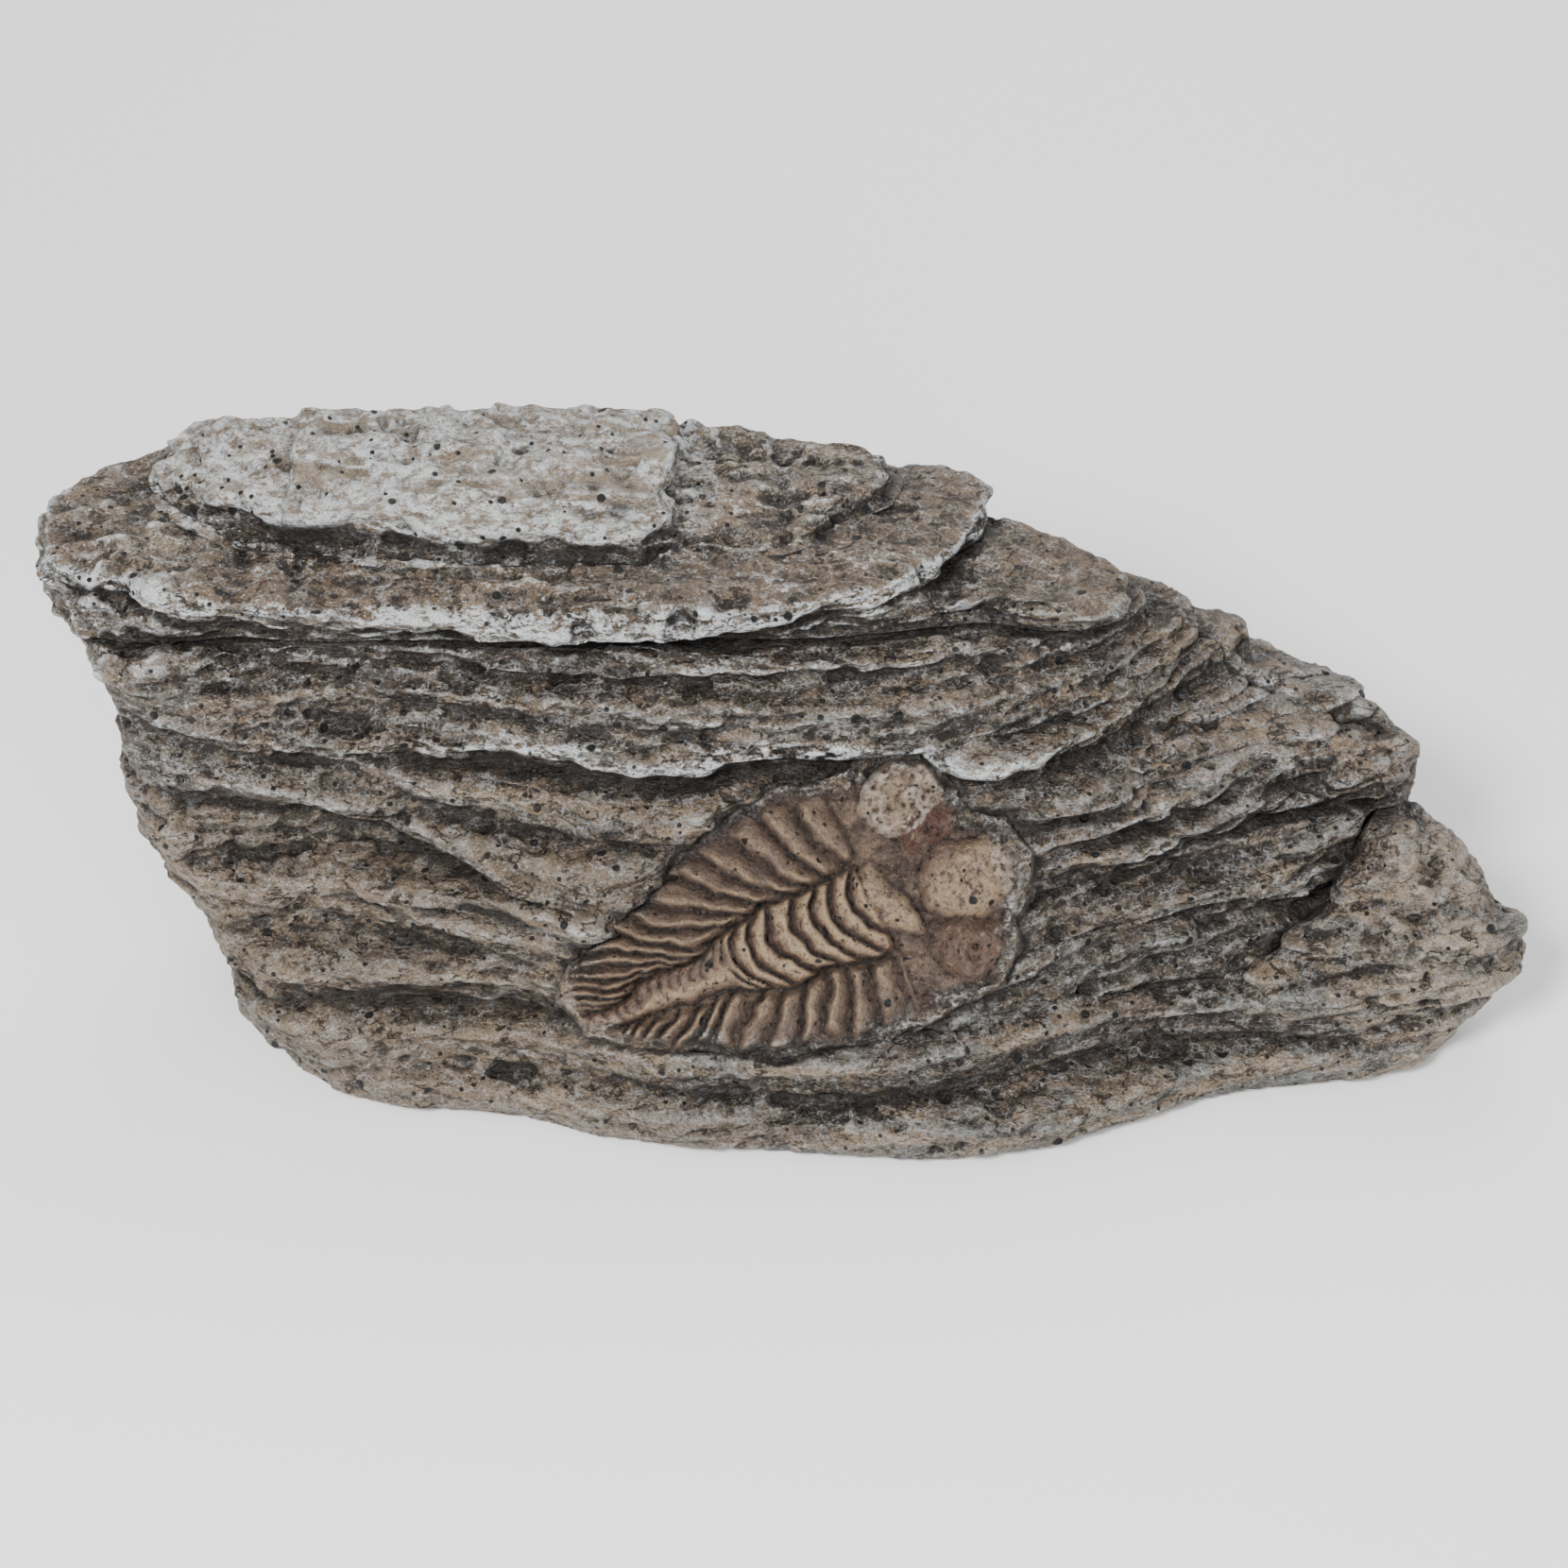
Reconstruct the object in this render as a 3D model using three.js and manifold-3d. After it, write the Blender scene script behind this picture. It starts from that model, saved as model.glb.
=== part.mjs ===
// A resin cave ornament for a pond or an aquarium: a hollow rock of sheared strata with a
// trilobite relief let into its front. Millimetres, +Z up, +X to the right, +Y to the back.
// The origin is on the resting plane, at the middle of the bounding box.
//
// Every rock piece is a stack of strata. A stratum is a plan outline with rounded edges, so a
// crevice is left wherever two of them meet. The chamber, the mouths and the seams are cut from
// the stack afterwards.
import * as THREE from 'three';
import { mergeVertices } from 'three/addons/utils/BufferGeometryUtils.js';
import Module from 'manifold-3d';

const wasm = await Module();
wasm.setup();

// Driving dimensions.
const FOOT = 1;                 // the base stands this far off the floor, on its pads
const BASE_TOP = 16;            // the long crack between the base and the walls
const CAP_BOTTOM = 68;          // the crevice under the cap slab
const CROWN_TOP = 88;
const GAP = 0.3;                // clearance between neighbouring pieces
const EDGE = 1.6;               // how far a stratum's edge is rounded
const LAP = 0.4;                // strata of one piece run into each other by this much
const OUTLINE_STEPS = 46;
const ROUND_SIDES = 24;

const PAD = { radius: 5, thickness: 2.5, recess: 1.8 };
const PAD_PLACES = [[-66, -28], [88, -21], [-64, 31], [84, 20]];

const FOSSIL = {
  origin: [3, -28, 33.5],       // middle of the relief, on the sloping front
  lean: Math.atan2(26, 33),     // how far the front leans back from upright
  depth: 4,                     // how deep the plaque is let into the wall
  axisAngle: Math.atan2(27.5, 66),
  headroom: 12,                 // more than the relief stands proud
  outlineSteps: 60,
};

// ---------------------------------------------------------------- plan outlines

// Each outline starts at its left end and runs along the front, round the right end and back.
const BASE_STRATA = [
  { bottom: FOOT, top: 8, outline: [
    [-92, -8], [-87, -21], [-79, -32], [-67, -38], [-46, -40], [-30, -46], [-8, -49], [18, -52],
    [36, -51], [52, -45], [68, -37], [90, -32], [105, -29], [114, -21], [117, -8], [112, 6],
    [97, 21], [68, 36], [30, 43], [-15, 44], [-55, 43], [-80, 34], [-93, 14]] },
  { bottom: 8, top: BASE_TOP, outline: [
    [-94, -10], [-91, -25], [-82, -34], [-62, -36], [-42, -36], [-30, -40], [-12, -43], [12, -44],
    [30, -41], [48, -33], [66, -28], [82, -28], [100, -28], [115, -25], [121, -15], [117, 2],
    [104, 16], [76, 32], [36, 42], [-10, 44], [-55, 43], [-80, 34], [-94, 14]] },
];

// The block at the right end belongs to the base and runs out into the pointed tip.
const TIP_STRATA = [
  { bottom: BASE_TOP, top: 20, outline: [
    [78, -22], [90, -27], [106, -27], [119, -23], [124, -15], [119, -3], [111, 8], [101, 13],
    [98, 3], [95, -6], [87, -14]] },
  { bottom: 20, top: 25.5, outline: [
    [83, -20], [94, -23], [108, -24], [120, -21], [125, -15], [119, -7], [111, 6], [102, 12],
    [99, 3], [96, -6], [90, -13]] },
  { bottom: 25.5, top: 30.5, outline: [
    [92, -13], [101, -18], [112, -18], [119, -14], [117, -8], [113, 0], [108, 7], [102, 9],
    [100, 1]] },
  { bottom: 30.5, top: 35, outline: [
    [97, -9], [103, -13], [110, -11], [112, -5], [108, 3], [102, 5]] },
];

const WALL_STRATA = [
  { bottom: BASE_TOP + GAP, top: 20, outline: [
    [-94, -10], [-91, -25], [-77, -27], [-54, -27], [-38, -30], [-31, -38], [-8, -41], [12, -40],
    [30, -35], [42, -30], [58, -25], [70, -22], [84, -16], [95, -6], [99, 8], [84, 24], [50, 38],
    [0, 43], [-55, 43], [-84, 34], [-96, 12]] },
  { bottom: 20, top: 25, outline: [
    [-98, -12], [-91, -26], [-76, -30], [-54, -30], [-38, -31], [-32, -38], [-10, -39], [12, -38],
    [30, -33], [42, -27], [58, -23], [70, -20], [85, -14], [96, -5], [100, 8], [85, 25], [50, 38],
    [0, 44], [-55, 44], [-84, 35], [-98, 12]] },
  { bottom: 25, top: 30, outline: [
    [-100, -12], [-93, -21], [-80, -20], [-62, -23], [-50, -26], [-38, -29], [-31, -34], [-10, -36],
    [10, -35], [28, -31], [40, -24], [52, -20], [68, -16], [84, -13], [96, -3], [102, 8], [85, 26],
    [50, 38], [0, 44], [-55, 44], [-85, 36], [-101, 12]] },
  { bottom: 30, top: 36, outline: [
    [-104, -12], [-100, -18], [-88, -21], [-77, -20], [-66, -24], [-52, -29], [-38, -32], [-30, -33],
    [-10, -33], [8, -31], [26, -28], [38, -22], [50, -17], [66, -11], [82, -9], [96, -4], [106, 3],
    [104, 14], [87, 28], [50, 39], [0, 44], [-58, 45], [-87, 37], [-104, 10]] },
  { bottom: 36, top: 43, outline: [
    [-108, -8], [-103, -16], [-84, -11], [-66, -11], [-54, -17], [-44, -24], [-36, -29], [-28, -30],
    [-18, -27], [4, -26], [24, -23], [38, -19], [48, -18], [61, -14], [74, -8], [90, 0], [104, 2],
    [108, 10], [90, 29], [50, 40], [0, 45], [-60, 46], [-92, 38], [-109, 10]] },
  { bottom: 43, top: 50, outline: [
    [-110, -7], [-104, -13], [-84, -11], [-62, -12], [-46, -15], [-36, -19], [-25, -22], [-10, -22],
    [4, -21], [22, -17], [36, -15], [48, -16], [62, -12], [74, -7], [84, 1], [97, 0], [106, 3],
    [107, 10], [92, 27], [52, 39], [0, 45], [-62, 46], [-94, 39], [-111, 12]] },
  { bottom: 50, top: 56, outline: [
    [-110, -6], [-100, -9], [-77, -8], [-55, -9], [-38, -10], [-24, -14], [-12, -13], [4, -10],
    [16, -10], [30, -14], [38, -16], [45, -11], [53, -5], [63, 6], [72, 17], [82, 26], [75, 35],
    [52, 41], [0, 46], [-62, 47], [-96, 40], [-112, 14]] },
  { bottom: 56, top: 62.5, outline: [
    [-112, -3], [-100, -8], [-91, -9], [-76, -3], [-60, -3], [-46, -6], [-34, -8], [-18, -9],
    [0, -10], [18, -10], [32, -7], [42, -2], [52, 3], [62, 10], [71, 22], [66, 31], [40, 41],
    [0, 47], [-62, 48], [-98, 42], [-114, 16]] },
  { bottom: 62.5, top: CAP_BOTTOM - GAP, outline: [
    [-114, -2], [-108, -7], [-92, -3], [-77, 2], [-60, 0], [-44, -1], [-28, -2], [-8, -4],
    [12, -4], [28, -2], [40, 1], [50, 6], [60, 12], [63, 19], [56, 28], [34, 40],
    [0, 47], [-62, 48], [-98, 43], [-116, 18]] },
];

const CAP_STRATA = [
  { bottom: CAP_BOTTOM, top: 73, outline: [
    [-124, 20], [-121, 9], [-114, 1], [-104, 0], [-90, 2], [-78, 0], [-60, 1], [-42, 0], [-22, 2],
    [0, 1], [18, 3], [34, 6], [46, 3], [56, 5], [59, 12], [55, 21], [45, 30], [34, 39],
    [0, 48], [-60, 49], [-100, 47], [-117, 38]] },
  { bottom: 73, top: 78, outline: [
    [-125, 20], [-121, 10], [-110, 8], [-100, 1], [-86, -2], [-68, -3], [-48, -3], [-38, -7],
    [-28, -4], [-8, -3], [8, 1], [20, 7], [28, 17], [33, 28], [34, 40], [18, 46], [-10, 49],
    [-60, 50], [-98, 50], [-114, 45], [-123, 34]] },
  { bottom: 78, top: 83.5, outline: [
    [-107, 33], [-100, 21], [-88, 15], [-74, 12], [-60, 9], [-47, 8], [-40, 10], [-30, 8], [-22, 9],
    [-16, 16], [-6, 13], [4, 16], [10, 24], [18, 32], [15, 42], [-10, 48], [-40, 50], [-75, 49],
    [-101, 47]] },
  { bottom: 83.5, top: CROWN_TOP, outline: [
    [-100, 32], [-94, 24], [-80, 19], [-66, 16], [-50, 14], [-36, 15], [-26, 15], [-20, 22],
    [-17, 32], [-20, 42], [-40, 46], [-55, 43], [-78, 44], [-96, 43]] },
];

// The seam between the front and rear walls follows the rim of the ledges, from left to right.
const REAR_SEAM = [[-160, 31], [28, 31], [44, 27], [56, 22], [70, 23], [82, 18], [92, 13],
  [103, 11], [160, 11]];

// The chamber is a loft of ellipses that lean back with the front of the rock.
const CHAMBER = [
  { z: -1, x: 9, y: -1, halfLength: 82, halfDepth: 34 },
  { z: 16, x: 2, y: 5, halfLength: 82, halfDepth: 26 },
  { z: 30, x: -2, y: 10, halfLength: 82, halfDepth: 24 },
  { z: 44, x: -6, y: 15, halfLength: 76, halfDepth: 20 },
  { z: 58, x: -14, y: 20, halfLength: 62, halfDepth: 15 },
  { z: 71, x: -20, y: 25, halfLength: 42, halfDepth: 10 },
];
const CHAMBER_SIDES = 32;

const SIDE_MOUTH = { y: 2, width: 32, height: 29, from: -130, to: -60 };
const REAR_MOUTH = { x: 30, width: 54, sill: 7, height: 44, from: 20, to: 70 };
const VENT = { x: -30, z: 58, radius: 4, from: 25, to: 70 };

// ---------------------------------------------------------------- shape helpers

const smoothOutline = (points, steps = OUTLINE_STEPS) => {
  const curve = new THREE.CatmullRomCurve3(
    points.map(([x, y]) => new THREE.Vector3(x, y, 0)), true, 'centripetal');
  return curve.getSpacedPoints(steps).slice(0, -1).map((p) => new THREE.Vector2(p.x, p.y));
};

const grownOutline = (points, distance) => points.map((point, i) => {
  const before = points.at(i - 1);
  const after = points[(i + 1) % points.length];
  const along = after.clone().sub(before).normalize();
  return point.clone().add(new THREE.Vector2(along.y, -along.x).multiplyScalar(distance));
});

const toSolid = (geometry) => {
  const bare = geometry.index ? geometry.toNonIndexed() : geometry.clone();
  bare.deleteAttribute('normal');
  bare.deleteAttribute('uv');
  const merged = mergeVertices(bare, 1e-4);
  return new wasm.Manifold(new wasm.Mesh({
    numProp: 3,
    vertProperties: new Float32Array(merged.attributes.position.array),
    triVerts: new Uint32Array(merged.index.array),
  }));
};

const toGeometry = (solid) => {
  const { numProp, vertProperties, triVerts } = solid.getMesh();
  const positions = new Float32Array(vertProperties.length / numProp * 3);
  for (let i = 0; i < positions.length / 3; i += 1) {
    positions.set(vertProperties.subarray(i * numProp, i * numProp + 3), i * 3);
  }
  const geometry = new THREE.BufferGeometry();
  geometry.setAttribute('position', new THREE.BufferAttribute(positions, 3));
  geometry.setIndex(new THREE.BufferAttribute(new Uint32Array(triVerts), 1));
  geometry.computeVertexNormals();
  return geometry;
};

const joined = (solids) => solids.reduce((whole, piece) => whole.add(piece));

// Cutting can leave crumbs at a thin edge, and only the body of the piece is kept.
const largestBody = (solid) => solid.decompose()
  .reduce((largest, body) => (body.volume() > largest.volume() ? body : largest));

// A prism with upright sides over a plan outline.
const prism = (outline, bottom, top) => {
  const geometry = new THREE.ExtrudeGeometry(new THREE.Shape(outline), {
    depth: top - bottom, bevelEnabled: false });
  return toSolid(geometry.translate(0, 0, bottom));
};

// A slab whose edges are rounded inside its outline and its height.
const roundedSlab = (outline, bottom, top, edge = EDGE) => {
  const geometry = new THREE.ExtrudeGeometry(new THREE.Shape(outline), {
    depth: top - bottom - 2 * edge,
    bevelEnabled: true,
    bevelThickness: edge,
    bevelSize: edge,
    bevelOffset: -edge,
    bevelSegments: 1,
  });
  return toSolid(geometry.translate(0, 0, bottom + edge));
};

const stack = (strata) => joined(strata.map(({ bottom, top, outline }, i) => {
  const seat = i === 0 ? bottom : bottom - LAP;
  return roundedSlab(smoothOutline(outline), seat, top);
}));

// A closed loft through rings that all have the same number of points.
const loft = (rings) => {
  const sides = rings[0].length;
  const points = rings.flat();
  const faces = [];
  for (let ring = 0; ring < rings.length - 1; ring += 1) {
    for (let i = 0; i < sides; i += 1) {
      const a = ring * sides + i;
      const b = ring * sides + (i + 1) % sides;
      faces.push(a, b, b + sides, a, b + sides, a + sides);
    }
  }
  const last = (rings.length - 1) * sides;
  for (let i = 1; i < sides - 1; i += 1) {
    faces.push(0, i + 1, i, last, last + i, last + i + 1);
  }
  const geometry = new THREE.BufferGeometry().setFromPoints(points);
  geometry.setIndex(faces);
  return toSolid(geometry);
};

const ellipseRing = ({ z, x, y, halfLength, halfDepth }) => Array.from(
  { length: CHAMBER_SIDES }, (_, i) => {
    const turn = i / CHAMBER_SIDES * 2 * Math.PI;
    return new THREE.Vector3(x + halfLength * Math.cos(turn), y + halfDepth * Math.sin(turn), z);
  });

// An arch stands on a flat sill and has a half-round top. Its outline is across and up.
const archOutline = (width, height) => {
  const radius = width / 2;
  const arch = new THREE.Shape();
  arch.moveTo(-radius, 0);
  arch.lineTo(radius, 0);
  arch.lineTo(radius, height - radius);
  arch.absarc(0, height - radius, radius, 0, Math.PI, false);
  return arch;
};

const archGeometry = (width, height, length) => {
  const geometry = new THREE.ExtrudeGeometry(archOutline(width, height), {
    depth: length, bevelEnabled: false, curveSegments: 8 });
  return geometry.rotateX(Math.PI / 2);
};

// ---------------------------------------------------------------- cutters

const chamber = loft(CHAMBER.map(ellipseRing));

const sideMouth = toSolid(
  archGeometry(SIDE_MOUTH.width, SIDE_MOUTH.height + GAP, SIDE_MOUTH.to - SIDE_MOUTH.from)
    .rotateZ(Math.PI / 2)
    .translate(SIDE_MOUTH.from, SIDE_MOUTH.y, -GAP));

const rearMouth = toSolid(
  archGeometry(REAR_MOUTH.width, REAR_MOUTH.height - REAR_MOUTH.sill, REAR_MOUTH.to - REAR_MOUTH.from)
    .translate(REAR_MOUTH.x, REAR_MOUTH.to, REAR_MOUTH.sill));

const vent = toSolid(
  new THREE.CylinderGeometry(VENT.radius, VENT.radius, VENT.to - VENT.from, ROUND_SIDES)
    .translate(VENT.x, (VENT.from + VENT.to) / 2, VENT.z));

const FAR = 160;
const seamPrism = (shift, farSide) => {
  const line = REAR_SEAM.map(([x, y]) => new THREE.Vector2(x, y + shift));
  const outline = [...line, new THREE.Vector2(FAR, farSide), new THREE.Vector2(-FAR, farSide)];
  const turned = farSide > 0 ? outline : outline.reverse();
  return prism(turned, -1, CAP_BOTTOM + 1);
};
const behindSeam = seamPrism(GAP / 2, FAR);
const beforeSeam = seamPrism(-GAP / 2, -FAR);

// The tip block with clearance all round, as the walls meet it.
const grownTip = joined(TIP_STRATA.map(({ bottom, top, outline }) => prism(
  grownOutline(smoothOutline(outline), GAP), bottom - LAP - GAP, top + GAP)));

// ---------------------------------------------------------------- rock pieces

const makeBase = () => {
  const whole = stack([...BASE_STRATA, ...TIP_STRATA]);
  const recesses = joined(PAD_PLACES.map(([x, y]) => toSolid(
    new THREE.CylinderGeometry(PAD.radius + GAP, PAD.radius + GAP, 2 * PAD.recess, ROUND_SIDES)
      .rotateX(Math.PI / 2)
      .translate(x, y, FOOT))));
  return largestBody(whole.subtract(chamber).subtract(sideMouth).subtract(rearMouth)
    .subtract(recesses).subtract(fossilPocket()));
};

const walls = stack(WALL_STRATA).subtract(chamber).subtract(sideMouth).subtract(rearMouth)
  .subtract(grownTip);

const makeFrontWall = () => largestBody(walls.intersect(beforeSeam).subtract(fossilPocket()));

const makeRearWall = () => largestBody(walls.intersect(behindSeam).subtract(vent));

const makeCap = () => largestBody(stack(CAP_STRATA).subtract(chamber));

// ---------------------------------------------------------------- trilobite relief

// In the relief's own frame x runs to the right, y up the slope and z out of the front.
const FOSSIL_OUTLINE = [
  [-35, -18], [-39, -13], [-37, -6], [-32, 0], [-27, 3], [-22, 9], [-16, 14], [-10, 18], [-4, 21],
  [4, 22], [9, 25], [13, 27], [21, 27], [25, 22], [27, 17], [33, 16], [37, 11], [37, 5], [34, 0],
  [35, -5], [33, -10], [24, -14], [15, -19], [0, -22], [-12, -22], [-26, -21]].reverse();

const placeFossil = new THREE.Matrix4()
  .makeTranslation(...FOSSIL.origin)
  .multiply(new THREE.Matrix4().makeRotationX(Math.PI / 2 - FOSSIL.lean));

function fossilPocket() {
  const outline = grownOutline(smoothOutline(FOSSIL_OUTLINE, FOSSIL.outlineSteps), GAP);
  const pocket = prism(outline, -FOSSIL.depth - GAP, FOSSIL.headroom);
  return pocket.transform(placeFossil.elements);
}

// The animal lies along an axis from tail to head: s runs along it and t across it.
const TAIL = new THREE.Vector2(-33, -16.5);
const onFossil = (s, t) => new THREE.Vector2(s, t)
  .rotateAround(new THREE.Vector2(), FOSSIL.axisAngle)
  .add(TAIL);

// A tapered bar lying along a curved line, with a ridge on top, for a rib or an axial ring.
const RIDGE = { foot: -1.5, taper: 0.45, shoulderWidth: 0.8, shoulderHeight: 0.5 };
const ridge = (line, halfWidth, height) => {
  const rings = line.map((point, i) => {
    const before = line[Math.max(i - 1, 0)];
    const after = line[Math.min(i + 1, line.length - 1)];
    const along = after.clone().sub(before).normalize();
    const across = new THREE.Vector2(-along.y, along.x);
    const taper = 1 - RIDGE.taper * i / (line.length - 1);
    const side = across.multiplyScalar(halfWidth * taper);
    const corner = (k, z) => new THREE.Vector3(point.x + k * side.x, point.y + k * side.y, z);
    const shoulder = height * RIDGE.shoulderHeight;
    return [corner(-1, RIDGE.foot), corner(1, RIDGE.foot), corner(RIDGE.shoulderWidth, shoulder),
      corner(0, height), corner(-RIDGE.shoulderWidth, shoulder)];
  });
  return loft(rings);
};

const bowedLine = (start, end, bow, steps = 2) => Array.from({ length: steps + 1 }, (_, i) => {
  const part = i / steps;
  const straight = start.clone().lerp(end, part);
  const across = end.clone().sub(start).rotateAround(new THREE.Vector2(), Math.PI / 2).normalize();
  return straight.add(across.multiplyScalar(bow * 4 * part * (1 - part)));
});

const lump = ({ place, size, turn }) => toSolid(new THREE.SphereGeometry(1, 12, 8)
  .scale(...size)
  .rotateZ(turn)
  .translate(...place, 0));

const THORAX = { from: 21, to: 47, rings: 8, halfWidth: [4.6, 7.4] };
const PYGIDIUM = { from: 3, to: 20, rings: 7, halfWidth: [1.6, 4.2] };
const RING = { bow: 1.2, fill: 0.84, height: 3 };       // fill is the ring's share of the pitch
const UPPER_RIBS = { side: 1, count: 12, from: 6, to: 47, reach: [6, 21] };
const LOWER_RIBS = { side: -1, count: 11, from: 4, to: 46, reach: [5, 13] };
const RIB = { inner: [2.5, 7], sweep: 7, bow: -1.5, halfWidth: 1.35, height: 1.8 };

const GLABELLA = { place: [27, 7], size: [9, 7.5, 4], turn: FOSSIL.axisAngle };
const BROW_NODULE = { place: [17.5, 20], size: [7, 6.5, 4], turn: 0 };
const LOWER_CHEEK = { place: [28, -5.5], size: [6.5, 4.5, 3], turn: 0 };
const NECK_RING = { place: [17.5, 3.5], size: [2.4, 8, 3], turn: FOSSIL.axisAngle };

const mix = ([low, high], part) => low + (high - low) * part;

const axialRings = ({ from, to, rings, halfWidth }) => Array.from({ length: rings }, (_, i) => {
  const part = i / (rings - 1);
  const s = mix([from, to], part);
  const half = mix(halfWidth, part);
  const pitch = (to - from) / (rings - 1);
  const line = bowedLine(onFossil(s, half), onFossil(s, -half), RING.bow);
  return ridge(line, pitch * RING.fill / 2, RING.height);
});

const ribs = ({ side, count, from, to, reach }) => Array.from({ length: count }, (_, i) => {
  const part = i / (count - 1);
  const s = mix([from, to], part);
  const inner = mix(RIB.inner, part) * side;
  const outer = mix(reach, Math.sqrt(part)) * side;
  const line = bowedLine(onFossil(s, inner), onFossil(s - RIB.sweep, outer), RIB.bow * side);
  return ridge(line, RIB.halfWidth, RIB.height);
});

const makeFossil = () => {
  const outline = smoothOutline(FOSSIL_OUTLINE, FOSSIL.outlineSteps);
  const groundLevel = -1;
  const plate = prism(outline, -FOSSIL.depth, groundLevel);
  const body = [
    ...axialRings(THORAX),
    ...axialRings(PYGIDIUM),
    ...ribs(UPPER_RIBS),
    ...ribs(LOWER_RIBS),
    ...[GLABELLA, BROW_NODULE, LOWER_CHEEK, NECK_RING].map(lump),
  ];
  const inside = prism(outline, -FOSSIL.depth, FOSSIL.headroom);
  return largestBody(joined([plate, ...body]).intersect(inside));
};

// ---------------------------------------------------------------- materials and the group

const stone = (colour) => new THREE.MeshStandardMaterial({
  color: colour, roughness: 0.62, metalness: 0 });
const rubber = new THREE.MeshStandardMaterial({ color: 0x22211f, roughness: 0.85, metalness: 0 });

const ornament = new THREE.Group();

const addPiece = (name, geometry, material, parent = ornament) => {
  const mesh = new THREE.Mesh(geometry, material);
  mesh.name = name;
  parent.add(mesh);
  return mesh;
};

addPiece('base_stratum', toGeometry(makeBase()), stone(0x8f8577));
addPiece('wall_front', toGeometry(makeFrontWall()), stone(0x958a7a));
addPiece('wall_rear', toGeometry(makeRearWall()), stone(0x8a8072));
addPiece('cap_slab', toGeometry(makeCap()), stone(0xa8a397));

const fossilFrame = new THREE.Group();
fossilFrame.applyMatrix4(placeFossil);
ornament.add(fossilFrame);
addPiece('trilobite_inlay', toGeometry(makeFossil()), stone(0xa5876a), fossilFrame);

PAD_PLACES.forEach(([x, y], i) => {
  const pad = new THREE.CylinderGeometry(PAD.radius, PAD.radius, PAD.thickness, ROUND_SIDES)
    .rotateX(Math.PI / 2);
  const mesh = addPiece(`anti_slip_pad_${i + 1}`, pad, rubber);
  mesh.position.set(x, y, PAD.thickness / 2);
});

// The outlines are drawn about the middle of the rock by eye, and the group is moved so that the
// origin is exactly under the middle of the bounding box.
const middle = new THREE.Box3().setFromObject(ornament, true).getCenter(new THREE.Vector3());
ornament.position.set(-middle.x, -middle.y, 0);

export default ornament;
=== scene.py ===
"""The looks of a resin cave ornament: a hollow rock of sheared strata with a trilobite relief.

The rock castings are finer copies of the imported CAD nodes. Each copy is remeshed, then layered,
chipped and pitted in code, and painted with a node material that reads how hollow or how proud
the surface is at every point. The relief is a fine height field in place of its CAD plaque, and
the pads keep their CAD shapes. Lengths are in millimetres here, and meshes are made in metres.
"""
import itertools
import math
from collections import namedtuple
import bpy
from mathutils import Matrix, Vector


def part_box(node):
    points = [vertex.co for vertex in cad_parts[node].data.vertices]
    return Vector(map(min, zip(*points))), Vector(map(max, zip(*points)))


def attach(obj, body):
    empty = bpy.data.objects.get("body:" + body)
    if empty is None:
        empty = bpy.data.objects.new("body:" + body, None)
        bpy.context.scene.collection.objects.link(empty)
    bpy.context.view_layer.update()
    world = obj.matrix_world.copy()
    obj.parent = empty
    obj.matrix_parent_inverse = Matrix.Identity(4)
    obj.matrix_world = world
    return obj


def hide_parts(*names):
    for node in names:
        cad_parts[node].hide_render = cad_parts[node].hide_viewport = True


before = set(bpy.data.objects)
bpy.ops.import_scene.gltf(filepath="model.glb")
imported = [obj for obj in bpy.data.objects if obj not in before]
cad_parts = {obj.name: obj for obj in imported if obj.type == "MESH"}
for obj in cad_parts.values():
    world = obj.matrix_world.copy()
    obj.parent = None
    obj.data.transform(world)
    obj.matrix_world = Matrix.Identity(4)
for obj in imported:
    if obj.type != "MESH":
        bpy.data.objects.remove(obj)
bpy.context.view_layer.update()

from types import SimpleNamespace

import bpy
import numpy as np
from mathutils import Vector
from mathutils.bvhtree import BVHTree

MM = 0.001

# Driving dimensions of the finish. VOXEL is the width of each casting's quads.
VOXEL = {"base_stratum": 0.66, "wall_front": 0.62, "wall_rear": 0.9, "cap_slab": 0.6}
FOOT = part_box("base_stratum")[0][2] / MM  # the flat underside of the base
SEAM = 16.2  # height at which the walls stand on the base
CROWN_FOOT = 78  # height of the ledge that the crown stands on
SEAM_REACH = 3.5  # how far from a seam its edges are drawn together
SEAM_PULL = 0.46  # share of the gap that each edge closes
PAD_NAMES = "anti_slip_pad"  # how the names of the rubber pads start

# The studio. The camera looks along +Y and down at that many degrees, and a light's power is in
# watts.
CAMERA = {"elevation": 35, "aim": (0.13, 0.7, 41), "distance": 737, "lens": 100, "nearest": 10}
LIGHTS = {
    "key": {"place": (-420, -850, 850), "size": 350, "power": 24},
    "fill": {"place": (350, -1000, 350), "size": 500, "power": 9},
    "back": {"place": (200, 800, 700), "size": 600, "power": 5},
}
LIGHTS_AIM = (0, 0, 40)
SKY_STRENGTH = 0.68
FLOOR_REACH = 6000  # how far the floor goes from the middle


# ---------------- noise

# Odd factors and shifts that scatter whole numbers over 32 bits.
CELL_FACTORS = (73856093, 19349663, 83492791)
SEED_FACTOR = 2654435761
SCATTERING = ((13, 1274126177), (15, 2246822519))
LAST_SHIFT = 16
ALL_32_BITS = 0xFFFFFFFF
LOW_24_BITS = 0xFFFFFF
OCTAVE_FADE = 0.55  # strength of each finer octave of noise over that of the one before


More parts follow.
